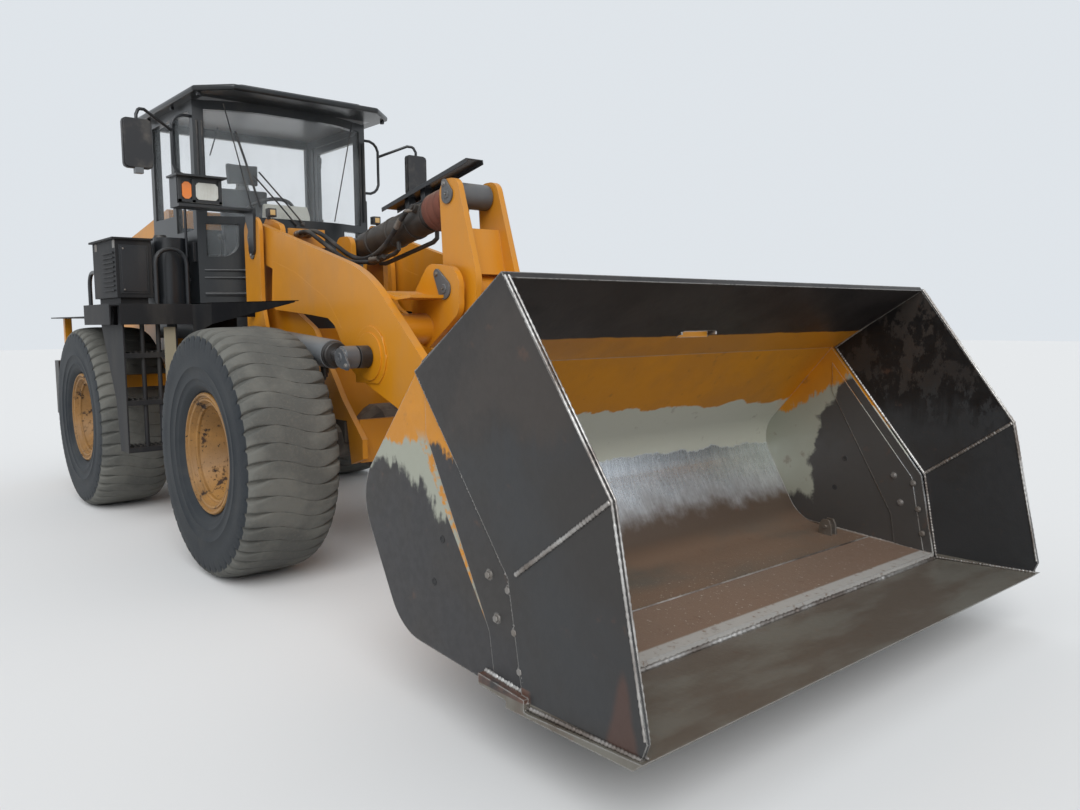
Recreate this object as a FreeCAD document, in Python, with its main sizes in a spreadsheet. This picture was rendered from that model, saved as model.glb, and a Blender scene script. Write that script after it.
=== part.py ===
"""Articulated wheel loader with an enlarged welded bucket, as separate named pieces.

Millimetres. X points forward, Y to the left, Z up. The ground is z = 0 and the machine stands
straight, with its bucket level and a little above the ground.
"""
import FreeCAD, Part
import math
import os
import re
import Sketcher

os.makedirs("parts", exist_ok=True)
doc = FreeCAD.newDocument("wheel_loader")
sheet = doc.addObject("Spreadsheet::Sheet", "Sizes")
Vector = FreeCAD.Vector

# Driving dimensions: name, value in millimetres or degrees
SIZES = (
    # Running gear
    ("front_axle_x", 520), ("rear_axle_x", -2480), ("track_half", 1110),
    ("tyre_radius", 790), ("tyre_width", 590), ("tyre_wall", 55), ("bead_radius", 330),
    ("shoulder_drop", 45), ("shoulder_width", 60), ("lug_gap", 26), ("lug_length", 170), ("lug_depth", 24),
    ("lug_tilt", 4), ("rim_width", 500), ("rim_flange_radius", 385), ("rim_wall", 22),
    ("rim_well_radius", 285),
    ("disc_thick", 24), ("disc_inset", 150), ("hub_radius", 165), ("hub_out", 70), ("hub_in", 95),
    ("spindle_radius", 60), ("axle_end_y", 900), ("axle_tube_radius", 120), ("axle_end_radius", 175),
    ("diff_radius", 230), ("diff_half", 170), ("trunnion_radius", 90), ("pin_fit", 0.3),
    # Articulation
    ("steer_x", -980), ("lug_radius", 130), ("steer_pin_radius", 50), ("plate_gap", 5),
    ("upper_lug_z", 1075), ("lower_lug_z", 615), ("lug_thick", 70), ("fork_thick", 40),
    ("neck_front", 340), ("neck_rear", 350),
    # Frames
    ("frame_half", 470), ("frame_plate", 40), ("frame_low", 560), ("frame_tail_x", -4050),
    ("rear_frame_top", 1150), ("rear_frame_low", 640), ("axle_notch", 140), ("axle_pad", 30),
    # Boom and towers
    ("root_x", -450), ("root_z", 2240), ("root_pin_radius", 45), ("boom_root_radius", 125),
    ("boom_in", 495), ("boom_thick", 55), ("boss_out", 13), ("tower_plate", 30), ("tower_gap", 25),
    ("tip_x", 2460), ("tip_z", 460), ("tip_radius", 110), ("tip_pin_radius", 40),
    ("cross_tube_x", 1330), ("cross_tube_z", 1560), ("cross_tube_radius", 95),
    ("lift_pin_x", 1180), ("lift_pin_z", 1390), ("lift_tail_z", 1500),
    ("lift_y", 705), ("lift_pin_radius", 40), ("lift_eye_half", 50), ("lift_eye_radius", 80),
    ("lift_barrel_radius", 92), ("lift_barrel_length", 1355), ("lift_rod_radius", 45), ("lift_reach", 145),
    ("lift_tail_x", "=lift_pin_x - lift_reach - lift_barrel_length"),
    # Bell crank, link and tilt cylinder
    ("crank_x", 1560), ("crank_z", 1800), ("crank_top_x", 1500), ("crank_top_z", 2380),
    ("crank_low_x", 1750), ("crank_low_z", 900), ("crank_in", 130), ("crank_plate", 40),
    ("crank_pin_radius", 50), ("crank_hub_radius", 105), ("crank_hub_half", 198),
    ("bracket_plate", 40), ("bracket_radius", 165), ("layer_gap", 6),
    ("tilt_tail_z", 2140), ("tilt_eye_half", 104), ("tilt_eye_radius", 85),
    ("tilt_barrel_radius", 105), ("tilt_barrel_length", 1010), ("tilt_rod_radius", 50),
    ("tilt_collar_radius", 128), ("tilt_collar_length", 215), ("tilt_reach", 370),
    ("tilt_tail_x", "=crank_top_x - tilt_reach - tilt_barrel_length"),
    ("link_x", 2576), ("link_z", 779), ("link_half", 55), ("link_eye_radius", 75),
    ("link_pin_radius", 35), ("link_depth", 110),
    # Steering cylinders
    ("steer_tail_x", -1660), ("steer_tail_y", 330), ("steer_eye_x", -780), ("steer_eye_y", 340),
    ("steer_cyl_z", 860), ("steer_barrel_radius", 45), ("steer_barrel_length", 520),
    ("steer_rod_radius", 25), ("steer_rod_start", 345), ("steer_eye_radius", 50),
    ("steer_eye_half", 42),
    ("steer_lug_plate", 25), ("steer_end_pin_radius", 25),
    # Bucket
    ("bucket_half", 1455), ("bucket_wall", 26), ("edge_x", 3820), ("edge_z", 270),
    ("heel_x", 2960), ("heel_z", 330), ("back_x", 2640), ("back_z", 880),
    ("crown_x", 3170), ("crown_z", 1430), ("cheek_x", 3740), ("cheek_z", 730),
    ("skin_plate", 15), ("skin_lap", 45), ("peak_x", 3680), ("peak_z", 1770),
    ("knuckle_x", 4200), ("knuckle_z", 1060), ("lip_x", 4350), ("lip_z", 350),
    ("lip_thick", 26), ("lip_rear_x", 3700), ("lip_over", 20), ("blade_rear_x", 3540), ("blade_thick", 42),
    ("lug_plate", 40), ("link_lug_in", 75),
    ("slot_x", 3315), ("slot_right", -150), ("slot_left", 80), ("slot_width", 50),
    # Cab
    ("cab_front_x", -1140), ("cab_rear_x", -2200), ("cab_half", 763), ("cab_wall", 50),
    ("cab_low", 1480), ("cab_floor_z", 1760), ("cab_top", 3360), ("sill_z", 2460),
    ("side_sill_z", 2350), ("window_top", 3290), ("pillar", 75), ("mid_pillar_x", -1640),
    ("glass", 8), ("glass_set", 12), ("glass_bow", 170), ("rear_sill_z", 2500), ("door_rear_x", -2060),
    ("door_gap", 6), ("door_low", 1780), ("door_stile", 60), ("hinge_pin_radius", 10), ("hinge_length", 60),
    ("corner_in", 470), ("corner_out", 700), ("corner_low", 2140), ("corner_high", 2400),
    ("corner_round", 130),
    ("roof_front_x", -640), ("roof_rear_x", -2260), ("roof_half", 850), ("roof_thick", 80),
    ("roof_corner", 230), ("roof_rim", 45), ("roof_step", 110), ("belly_half", 540), ("belly_low", 1300),
    # Hood, counterweight and engine
    ("hood_front_x", -2230), ("hood_rear_x", -4240), ("hood_half", 620), ("hood_sheet", 12),
    ("hood_low", 1260), ("hood_front_z", 2640), ("hood_rear_z", 2330), ("hood_shoulder", 120),
    ("lid_front_x", -2480), ("lid_rear_x", -3860), ("lid_low", 1720), ("lid_top", 2200), ("lid_lap", 25),
    ("weight_front_x", -3950), ("weight_rear_x", -4380), ("weight_half", 1220),
    ("weight_low", 700), ("weight_top", 1240), ("weight_corner", 260), ("tow_pin_radius", 25),
    ("tow_slot", 110), ("tow_depth", 160),
    ("engine_front_x", -2480), ("engine_rear_x", -3560), ("engine_half", 330),
    ("engine_low", 1110), ("engine_top", 1980),
    ("boss_rise", 25), ("stack_x", -2700), ("stack_y", 260), ("stack_radius", 60), ("stack_top", 3050),
    ("intake_x", -2620), ("intake_y", -260), ("intake_radius", 50), ("intake_top", 2860),
    ("grille_bar", 14), ("grille_pitch", 70), ("grille_frame", 60),
    # Platforms, ladders, boxes and rails
    ("deck_front_x", -1150), ("deck_rear_x", -1950), ("deck_out", 1430), ("deck_top", 1760),
    ("deck_low", 1600), ("deck_sheet", 12), ("beam_depth", 60),
    ("fender_rear_x", -3330), ("fender_z", 1662), ("fender_sheet", 10), ("fender_out", 1390),
    ("outrigger_x", -1650), ("fender_post_x", -3290),
    ("box_front_x", -1260), ("box_rear_x", -1900), ("box_in", 1085), ("box_out", 1350),
    ("box_top", 2270), ("tank_front_x", -1280), ("tank_rear_x", -1900), ("tank_in", 795),
    ("tank_out", 1020), ("tank_top", 2290), ("tank_round", 100), ("louvre_low", 1860), ("louvre_pitch", 36),
    ("louvre_rows", 9), ("louvre_out", 12),
    ("ladder_in", 930), ("ladder_out", 1340), ("ladder_front_x", -1210), ("ladder_rear_x", -1420),
    ("ladder_low", 600), ("step_pitch", 370), ("step_thick", 40), ("stringer", 12), ("tube_in", 1070),
    ("tube_out", 1190), ("rail_radius", 17), ("rail_top", 2190), ("rail_bend", 110), ("rear_rail_x", -2250),
    ("rear_rail_z", 2040),
    # Front fenders, lamps, mirrors
    ("guard_rear_x", -300), ("guard_front_x", 260), ("guard_out", 1115), ("guard_z", 1730),
    ("guard_low", 1530), ("guard_sheet", 10), ("guard_point", 190), ("guard_arm_x", -500),
    ("lamp_x", -420), ("lamp_in", 830), ("lamp_out", 1150), ("lamp_low", 2450), ("lamp_top", 2640),
    ("lamp_deep", 150), ("lens_edge", 1030), ("bracket_sheet", 20),
    ("mirror_x", -980), ("mirror_in", 1115), ("mirror_out", 1330), ("mirror_low", 2760),
    ("mirror_top", 3130), ("mirror_deep", 60), ("mirror_arm_z", 3240), ("loop_out", 915), ("loop_low", 2770),
    ("loop_high", 3235), ("mirror_tube", 12),
    # Driver's place
    ("seat_x", -1800), ("seat_half", 240), ("seat_z", 2150), ("cushion", 120), ("seat_length", 480),
    ("back_height", 720), ("head_height", 220), ("column_x", -1350), ("column_length", 260),
    ("wheel_z", 2520),
    ("wheel_ring", 200), ("wheel_grip", 16),
)
for row, (name, value) in enumerate(SIZES, 1):
    sheet.set("A%d" % row, name)
    sheet.set("B%d" % row, str(value))
    sheet.setAlias("B%d" % row, name)
doc.recompute()
ALIASES = {name for name, _ in SIZES}


def cell(expression):
    """The expression with each size written as its cell in the sheet."""
    return re.sub(r"[a-z_]+[a-z0-9_]*", lambda word: "Sizes." + word.group() if word.group() in ALIASES
                  else word.group(), str(expression))


def size(expression):
    """The value of an expression of sizes."""
    return float(sheet.evalExpression(cell(expression)))


def bind(item, **properties):
    """Binds properties of an object to expressions of sizes."""
    for name, expression in properties.items():
        item.setExpression(name.replace("__", "."), cell(expression))
    return item


def origin_plane(body, plane):
    """The body's own XY, XZ or YZ plane."""
    return [item for item in body.Origin.OriginFeatures if item.Role == plane + "_Plane"][0]


def draw(body, plane, outline, offset):
    """A closed sketch: corners are (across, up) or (across, up, radius); one corner is a circle."""
    sketch = body.newObject("Sketcher::SketchObject", body.Name + "_sketch")
    sketch.AttachmentSupport = (origin_plane(body, plane), [""])
    sketch.MapMode = "FlatFace"
    bind(sketch, AttachmentOffset__Base__z=offset)

    def fix(kind, geometry, where, expression):
        index = sketch.addConstraint(Sketcher.Constraint(kind, geometry, where, size(expression)))
        sketch.setExpression("Constraints[%d]" % index, cell(expression))

    def fix_radius(geometry, expression):
        index = sketch.addConstraint(Sketcher.Constraint("Radius", geometry, size(expression)))
        sketch.setExpression("Constraints[%d]" % index, cell(expression))

    spots = [Vector(size(corner[0]), size(corner[1]), 0) for corner in outline]
    if len(outline) == 1:
        circle = Part.Circle(spots[0], Vector(0, 0, 1), size(outline[0][2]))
        sketch.addGeometry(circle, False)
        fix("DistanceX", 0, 3, outline[0][0])
        fix("DistanceY", 0, 3, outline[0][1])
        fix_radius(0, outline[0][2])
        return sketch

    count = len(outline)
    starts, ends, arcs = list(spots), list(spots), {}
    for index, corner in enumerate(outline):
        if len(corner) < 3:
            continue
        spot, radius = spots[index], size(corner[2])
        before = (spots[index - 1] - spot).normalize()
        after = (spots[(index + 1) % count] - spot).normalize()
        half = before.getAngle(after) / 2
        ends[index] = spot + before * (radius / math.tan(half))
        starts[index] = spot + after * (radius / math.tan(half))
        centre = spot + (before + after).normalize() * (radius / math.sin(half))
        turn = (before.cross(after)).z
        first, last = (ends[index], starts[index]) if turn < 0 else (starts[index], ends[index])
        angles = [math.atan2(end.y - centre.y, end.x - centre.x) for end in (first, last)]
        circle = Part.Circle(centre, Vector(0, 0, 1), radius)
        arcs[index] = (Part.ArcOfCircle(circle, angles[0], angles[1]), turn < 0)
    for index in range(count):
        sketch.addGeometry(Part.LineSegment(starts[index], ends[(index + 1) % count]), False)
    for index, corner in enumerate(outline):
        line_in, line_out = (index - 1) % count, index
        if index in arcs:
            arc, forwards = arcs[index]
            curve = sketch.addGeometry(arc, False)
            point = sketch.addGeometry(Part.Point(spots[index]), True)
            near, far = (1, 2) if forwards else (2, 1)
            sketch.addConstraint(Sketcher.Constraint("Tangent", line_in, 2, curve, near))
            sketch.addConstraint(Sketcher.Constraint("Tangent", curve, far, line_out, 1))
            sketch.addConstraint(Sketcher.Constraint("PointOnObject", point, 1, line_in))
            sketch.addConstraint(Sketcher.Constraint("PointOnObject", point, 1, line_out))
            fix_radius(curve, corner[2])
            fix("DistanceX", point, 1, corner[0])
            fix("DistanceY", point, 1, corner[1])
        else:
            sketch.addConstraint(Sketcher.Constraint("Coincident", line_in, 2, line_out, 1))
            fix("DistanceX", line_out, 1, corner[0])
            fix("DistanceY", line_out, 1, corner[1])
    return sketch


def pad(body, plane, low, thickness, outline):
    """A plate that spans low to low + thickness along the plane's normal axis."""
    offset = "-(%s) - (%s)" % (low, thickness) if plane == "XZ" else str(low)
    sketch = draw(body, plane, outline, offset)
    item = body.newObject("PartDesign::Pad", body.Name + "_pad")
    item.Profile = sketch
    return bind(item, Length=thickness)


def pocket(body, plane, low, thickness, outline):
    """A cut that spans low to low + thickness along the plane's normal axis."""
    offset = "-(%s)" % low if plane == "XZ" else "%s + %s" % (low, thickness)
    sketch = draw(body, plane, outline, offset)
    doc.recompute()
    before = body.Shape.Volume
    item = body.newObject("PartDesign::Pocket", body.Name + "_pocket")
    item.Profile = sketch
    bind(item, Length=thickness)
    doc.recompute()
    if body.Shape.Volume > before - 1:
        raise ValueError(item.Name + " cuts nothing")
    return item


def mirror_in(body, originals):
    """Mirror images of features across the machine's centre plane."""
    item = body.newObject("PartDesign::Mirrored", body.Name + "_mirror")
    item.Originals = originals
    item.MirrorPlane = (origin_plane(body, "XZ"), [""])
    body.Tip = item
    return item


def weldment(name, side=(), side_cuts=(), centre=(), cuts=()):
    """Plates on the left with their mirror images, plates on the centre line, then cuts."""
    body = doc.addObject("PartDesign::Body", name)
    features = [pad(body, *row) for row in side]
    features += [pocket(body, *row) for row in side_cuts]
    if features:
        mirror_in(body, features)
    for row in centre:
        pad(body, *row)
    for row in cuts:
        pocket(body, *row)
    return body


def box(name, x, y, z):
    """A block between pairs of expressions."""
    item = doc.addObject("Part::Box", name)
    return bind(item, Length="(%s) - (%s)" % (x[1], x[0]), Width="(%s) - (%s)" % (y[1], y[0]),
                Height="(%s) - (%s)" % (z[1], z[0]), Placement__Base__x=x[0],
                Placement__Base__y=y[0], Placement__Base__z=z[0])


TURNS = {"x": FreeCAD.Rotation(Vector(0, 1, 0), 90), "y": FreeCAD.Rotation(Vector(1, 0, 0), -90),
         "z": FreeCAD.Rotation()}


def bar(name, along, start, length, radius):
    """A round bar from start = (x, y, z) along an axis."""
    item = doc.addObject("Part::Cylinder", name)
    item.Placement = FreeCAD.Placement(Vector(), TURNS[along])
    return bind(item, Radius=radius, Height=length, Placement__Base__x=start[0],
                Placement__Base__y=start[1], Placement__Base__z=start[2])


def fuse(name, *pieces):
    """The pieces welded into one."""
    item = doc.addObject("Part::MultiFuse", name)
    item.Shapes = list(pieces)
    return item


def cut(name, base, *tools):
    """The base less the tools."""
    item = doc.addObject("Part::Cut", name)
    item.Base = base
    item.Tool = tools[0] if len(tools) == 1 else fuse(name + "_tools", *tools)
    return item


def mirrored(name, source):
    """The mirror image on the right-hand side."""
    item = doc.addObject("Part::Mirroring", name)
    item.Source = source
    item.Normal = Vector(0, 1, 0)
    return item


def group(name, *pieces):
    """Pieces that don't touch, kept as one named sub-part."""
    item = doc.addObject("Part::Compound", name)
    item.Links = list(pieces)
    return item


def circle(x, z, radius):
    """A round outline."""
    return ((x, z, radius),)


def rectangle(low_a, low_b, high_a, high_b):
    """A four-cornered outline."""
    return ((low_a, low_b), (high_a, low_b), (high_a, high_b), (low_a, high_b))


def facets_solid(faces):
    """A solid from flat faces, with faces in one plane joined."""
    return Part.makeSolid(Part.makeShell(faces)).removeSplitter()


def lathe(name, axis, sides, outline):
    """A many-sided turned solid: outline corners are (along the axis, radius to the flats)."""
    corners = [(size(place), size(radius) / math.cos(math.pi / sides)) for place, radius in outline]

    def spot(corner, step):
        turn = 2 * math.pi * (step + 0.5) / sides
        place, across, up = corner[0], corner[1] * math.cos(turn), corner[1] * math.sin(turn)
        return Vector(place, across, up) if axis == "x" else (
            Vector(across, place, up) if axis == "y" else Vector(across, up, place))

    faces = []
    for step in range(sides):
        for first, last in zip(corners, corners[1:] + corners[:1]):
            ring = [spot(first, step), spot(last, step), spot(last, step + 1), spot(first, step + 1)]
            ring = [point for index, point in enumerate(ring) if (point - ring[index - 1]).Length > 1e-6]
            if len(ring) > 2:
                faces.append(Part.Face(Part.makePolygon(ring + ring[:1])))
    shape = facets_solid(faces)
    if shape.Volume < 0:
        shape.reverse()
    item = doc.addObject("Part::Feature", name)
    item.Shape = shape
    return item


PIPE_SIDES, BEND_STEPS = 10, 4


def pipe(name, radius, bend, points):
    """A bent bar of many flats along straight runs, with one bend radius at each corner."""
    spots = [Vector(*[size(value) for value in point]) for point in points]
    radius, bend, route = size(radius), size(bend), [spots[0]]
    for before, spot, after in zip(spots, spots[1:], spots[2:]):
        back, on = (before - spot).normalize(), (after - spot).normalize()
        half = back.getAngle(on) / 2
        centre = spot + (back + on).normalize() * (bend / math.sin(half))
        arm = spot + back * (bend / math.tan(half)) - centre
        turn = FreeCAD.Rotation(on.cross(back), (180 - math.degrees(2 * half)) / BEND_STEPS)
        route.append(centre + arm)
        for _ in range(BEND_STEPS):
            arm = turn.multVec(arm)
            route.append(centre + arm)
    route.append(spots[-1])
    ways = [(last - first).normalize() for first, last in zip(route, route[1:])]
    square = FreeCAD.Rotation(Vector(0, 0, 1), ways[0])
    ring = [route[0] + square.multVec(Vector(radius * math.cos(2 * math.pi * step / PIPE_SIDES),
                                             radius * math.sin(2 * math.pi * step / PIPE_SIDES), 0))
            for step in range(PIPE_SIDES)]
    faces = [Part.Face(Part.makePolygon(ring + ring[:1]))]
    for index, way in enumerate(ways):
        normal = way + ways[index + 1] if index + 1 < len(ways) else way
        last = [point + way * ((route[index + 1] - point).dot(normal) / way.dot(normal)) for point in ring]
        for step in range(PIPE_SIDES):
            faces.append(Part.Face(Part.makePolygon([ring[step - 1], ring[step], last[step], last[step - 1],
                                                     ring[step - 1]])))
        ring = last
    faces.append(Part.Face(Part.makePolygon(ring + ring[:1])))
    item = doc.addObject("Part::Feature", name)
    item.Shape = facets_solid(faces)
    return item


NODES = {}


def node(name, item):
    """Names a finished sub-part."""
    item.Label = name
    NODES[name] = item
    return item


# Wheels: a tyre and a rim for each corner of the machine
CORNERS = (  # name, axle place, side
    ("front_left", "front_axle_x", 1), ("front_right", "front_axle_x", -1),
    ("rear_left", "rear_axle_x", 1), ("rear_right", "rear_axle_x", -1),
)


WHEEL_SIDES = 24


def make_tyre(name):
    """Tyre: bead, bulged wall, shoulder and crown, with a row of lugs cut into each shoulder."""
    half, bead = "tyre_width / 2", "rim_width / 2 - rim_wall - pin_fit"
    side, crown = "tyre_radius - shoulder_drop", "%s - shoulder_width" % half
    right = ((bead, "bead_radius"), (bead, "rim_flange_radius + 12"),
             ("%s - 12" % half, "rim_flange_radius + 75"),
             (half, side), (crown, "tyre_radius"))
    right_inside = (("%s - tyre_wall / 2" % crown, "tyre_radius - tyre_wall - 20"),
                    ("%s - tyre_wall" % bead, "bead_radius"))
    left, left_inside = [[("-(%s)" % place, radius) for place, radius in half_outline[::-1]]
                         for half_outline in (right, right_inside)]
    casing = lathe(name + "_casing", "y", WHEEL_SIDES, [*right, *left, *left_inside, *right_inside])
    grooves = []
    for step in range(WHEEL_SIDES):
        for sign in (1, -1):
            groove = Part.makeBox(size("lug_gap"), size("lug_length"), 200)
            groove.translate(Vector(-size("lug_gap") / 2, 0, size("tyre_radius - lug_depth")))
            groove.rotate(Vector(), Vector(1, 0, 0), -size("lug_tilt"))
            groove.translate(Vector(0, size("%s - lug_length * 0.72" % half), 0))
            if sign < 0:
                groove = groove.mirror(Vector(), Vector(0, 1, 0))
            groove.rotate(Vector(), Vector(0, 1, 0), 360 * (step + 0.25 * (1 - sign)) / WHEEL_SIDES)
            grooves.append(groove)
    cutter = doc.addObject("Part::Feature", name + "_grooves")
    cutter.Shape = Part.makeCompound(grooves)
    return cut(name, casing, cutter)


def make_rim(name):
    """Rim with its flanges and well, deep-set disc and final-drive hub."""
    edge = "rim_width / 2"
    outline = (
        ("-disc_inset - hub_in", "spindle_radius + pin_fit"), ("-disc_inset - hub_in", "hub_radius"),
        ("-disc_inset - disc_thick", "hub_radius"), ("-disc_inset - disc_thick", "rim_well_radius"),
        ("-%s" % edge, "rim_well_radius + 15"),
        ("-%s" % edge, "rim_flange_radius"), ("-%s + rim_wall" % edge, "rim_flange_radius"),
        ("-%s + rim_wall" % edge, "bead_radius - pin_fit"), ("%s - rim_wall" % edge, "bead_radius - pin_fit"),
        ("%s - rim_wall" % edge, "rim_flange_radius"), (edge, "rim_flange_radius"),
        (edge, "bead_radius - rim_wall"), ("-disc_inset + disc_thick", "rim_well_radius"),
        ("-disc_inset", "hub_radius"), ("-disc_inset + hub_out - 30", "hub_radius"),
        ("-disc_inset + hub_out", "hub_radius - 30"), ("-disc_inset + hub_out", "0"),
        ("-disc_inset + hub_out - 30", "0"), ("-disc_inset + hub_out - 30", "spindle_radius + pin_fit"),
    )
    return lathe(name, "y", WHEEL_SIDES, outline)


for corner, place, side in CORNERS:
    for kind, maker in (("tyre", make_tyre), ("rim", make_rim)):
        piece = node("%s_%s" % (kind, corner), maker("%s_%s" % (kind, corner)))
        if side < 0:
            piece.Placement = FreeCAD.Placement(Vector(), FreeCAD.Rotation(Vector(0, 0, 1), 180))
        bind(piece, Placement__Base__x=place, Placement__Base__y="%d * track_half" % side,
             Placement__Base__z="tyre_radius")


# Axles: one housing each, turned about the wheel axis
AXLE_SIDES = 16


def make_axle(name, place):
    """Differential, tubes, brake ends and wheel spindles."""
    end, shoulder = "track_half - disc_inset + hub_out - 34", "track_half - disc_inset - hub_in - 0.3"
    right = (
        ("diff_half", "diff_radius"), ("diff_half + 140", "axle_tube_radius"),
        ("axle_end_y - 190", "axle_tube_radius"),
        ("axle_end_y - 130", "axle_end_radius"), (shoulder, "axle_end_radius"),
        (shoulder, "spindle_radius - 2"),
        (end, "spindle_radius - 2"), (end, "0"),
    )
    left = [("-(%s)" % place, radius) for place, radius in right[::-1]]
    return bind(lathe(name, "y", AXLE_SIDES, [*right, *left]), Placement__Base__x=place,
                Placement__Base__z="tyre_radius")


def axle_pads(name, place):
    """Seats that carry the frame's side plates."""
    return [box("%s_pad_%s" % (name, word), ("%s - axle_notch" % place, "%s + axle_notch" % place),
                ("%s * frame_half - %s" % (side, over), "%s * frame_half + %s" % (side, past)),
                ("tyre_radius", "tyre_radius + axle_tube_radius + axle_pad"))
            for word, side, over, past in (("left", 1, "frame_plate", "0"),
                                           ("right", -1, "0", "frame_plate"))]


front_housing = make_axle("front_housing", "front_axle_x")
node("front_axle", fuse("front_axle", front_housing, *axle_pads("front", "front_axle_x")))
rear_housing = make_axle("rear_housing", "rear_axle_x")
trunnion = bar("trunnion", "x", ("rear_axle_x - 330", "0", "tyre_radius"), "660", "trunnion_radius")
node("rear_axle", fuse("rear_axle", rear_housing, trunnion))


# Rear frame: side plates, decks with the inner hinge lugs, trunnion plates, outriggers
def lug_outline(reach):
    """A hinge lug: round at the steering pin, wide at the frame's end."""
    sign = 1 if reach == "neck_front" else -1
    end = "steer_x + %d * %s" % (sign, reach)
    back = "steer_x - %d * lug_radius" % sign
    inner, outer = "frame_half - frame_plate", "frame_half"
    return ((back, "-lug_radius * 0.9", "lug_radius * 0.85"),
            ("steer_x + %d * lug_radius" % sign, "-lug_radius"),
            (end, "-(%s)" % inner), (end, inner), ("steer_x + %d * lug_radius" % sign, "lug_radius"),
            (back, "lug_radius * 0.9", "lug_radius * 0.85"))


neck_end = "steer_x - neck_rear"
side_y = "frame_half - frame_plate"
rear_side = (
    (neck_end, "lower_lug_z"), (neck_end, "upper_lug_z + lug_thick"), ("-2100", "rear_frame_top"),
    ("-2260", "rear_frame_top + 60"), ("frame_tail_x", "rear_frame_top + 60"),
    ("frame_tail_x", "rear_frame_low + 160"), ("rear_axle_x - 330", "rear_frame_low"),
    ("rear_axle_x - 250", "rear_frame_low"),
    ("rear_axle_x - 160", "tyre_radius + axle_tube_radius + 110"),
    ("rear_axle_x + 160", "tyre_radius + axle_tube_radius + 110"),
    ("rear_axle_x + 250", "rear_frame_low"), ("-1500", "lower_lug_z"),
)
rear_frame = weldment(
    "rear_frame_plates",
    side=(("XZ", side_y, "frame_plate", rear_side),),
    centre=(
        ("XY", "upper_lug_z", "lug_thick", lug_outline("neck_rear")),
        ("XY", "lower_lug_z", "lug_thick", lug_outline("neck_rear")),
        ("XY", "upper_lug_z", "lug_thick",
         rectangle("-1800", "-frame_half + frame_plate", neck_end, "frame_half - frame_plate")),
        ("XY", "lower_lug_z", "lug_thick",
         rectangle("-1800", "-frame_half + frame_plate", neck_end, "frame_half - frame_plate")),
        ("YZ", "rear_axle_x + 290", "40",
         rectangle("-frame_half + frame_plate", "rear_frame_low", "frame_half - frame_plate", "1100")),
        ("YZ", "rear_axle_x - 330", "40",
         rectangle("-frame_half + frame_plate", "rear_frame_low", "frame_half - frame_plate", "1100")),
        ("YZ", "frame_tail_x", "40",
         rectangle("-frame_half + frame_plate", "rear_frame_low + 200", "frame_half - frame_plate",
                   "rear_frame_top")),
    ),
    cuts=(
        ("XY", "lower_lug_z", "upper_lug_z + lug_thick - lower_lug_z",
         circle("steer_x", "0", "steer_pin_radius + pin_fit")),
        ("YZ", "rear_axle_x - 330", "660", circle("0", "tyre_radius", "trunnion_radius + pin_fit")),
    ),
)
steer_tail_lugs = [
    weldment("steer_tail_lugs",
             side=[("XY", low, "steer_lug_plate",
                    (("steer_tail_x - 90", "steer_tail_y - 60", 40),
                     ("steer_tail_x + 60", "steer_tail_y - 60", 40),
                     ("steer_tail_x + 60", "frame_half - frame_plate"),
                     ("steer_tail_x - 90", "frame_half - frame_plate")))
                   for low in ("steer_cyl_z - steer_eye_half - plate_gap - steer_lug_plate",
                               "steer_cyl_z + steer_eye_half + plate_gap")]
             + [("XY", "steer_cyl_z - steer_eye_half - plate_gap", "2 * (steer_eye_half + plate_gap)",
                 circle("steer_tail_x", "steer_tail_y", "steer_end_pin_radius"))])]
engine_mounts = [box("engine_mount_%s_%d" % (word, number), ("%s - 60" % x, "%s + 60" % x), y,
                     ("engine_low", "engine_low + 120"))
                 for number, x in enumerate(("engine_front_x - 180", "engine_rear_x + 180"))
                 for word, y in (("left", ("engine_half + 0.3", "frame_half - frame_plate")),
                                 ("right", ("frame_plate - frame_half", "-engine_half - 0.3")))]
cab_mounts = [box("cab_mount_%s_%d" % (word, number), ("%s - 50" % x, "%s + 50" % x), y,
                  ("upper_lug_z + lug_thick - 40", "belly_low"))
              for number, x in enumerate(("neck_rear * -1 + steer_x - 120", "cab_rear_x + 160"))
              for word, y in (("left", ("frame_half - frame_plate", "frame_half")),
                              ("right", ("-frame_half", "frame_plate - frame_half")))]
outriggers = [box("outrigger_%s_%d" % (word, number), ("%s - 40" % x, "%s + 40" % x), y,
                  ("rear_frame_top - 60", "rear_frame_top + 40"))
              for number, x in enumerate(("outrigger_x", "fender_post_x"))
              for word, y in (("left", ("frame_half - 5", "fender_out - 100")),
                              ("right", ("100 - fender_out", "5 - frame_half")))]
outriggers += [box("post_%s_%d" % (word, number), ("%s - 30" % x, "%s + 30" % x), y,
                   ("rear_frame_top", top))
               for number, (x, top) in enumerate((("outrigger_x", "deck_low"), ("fender_post_x", "fender_z")))
               for word, y in (("left", ("fender_out - 160", "fender_out - 100")),
                               ("right", ("100 - fender_out", "160 - fender_out")))]
node("rear_frame", fuse("rear_frame", rear_frame, *steer_tail_lugs, *engine_mounts, *cab_mounts, *outriggers))

# Front frame: side plates, towers, forks with the steering pins, axle seats
front_side = (
    ("steer_x + neck_front", "frame_low"), ("steer_x + neck_front", "1500"), ("-690", "1700"),
    ("root_x - 140", "root_z + 60", 60), ("root_x - 40", "root_z + 165", 60),
    ("root_x + 200", "root_z + 90", 60), ("root_x + 270", "root_z - 200", 100), ("-170", "1750", 150),
    ("250", "1560", 150), ("640", "1080"), ("900", "830"), ("900", "700"), ("740", "650"),
    ("front_axle_x + axle_notch + 30", "tyre_radius + axle_tube_radius + axle_pad"),
    ("front_axle_x - axle_notch - 30", "tyre_radius + axle_tube_radius + axle_pad"),
    ("150", "frame_low"),
)
tower_out = "boom_in + boom_thick + tower_gap"
tower_side = (
    ("root_x - 140", "1350"), ("root_x - 140", "root_z + 155", 110), ("root_x + 140", "root_z + 155", 110),
    ("root_x + 140", "1750", 300), ("-180", "1350"),
)
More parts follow.
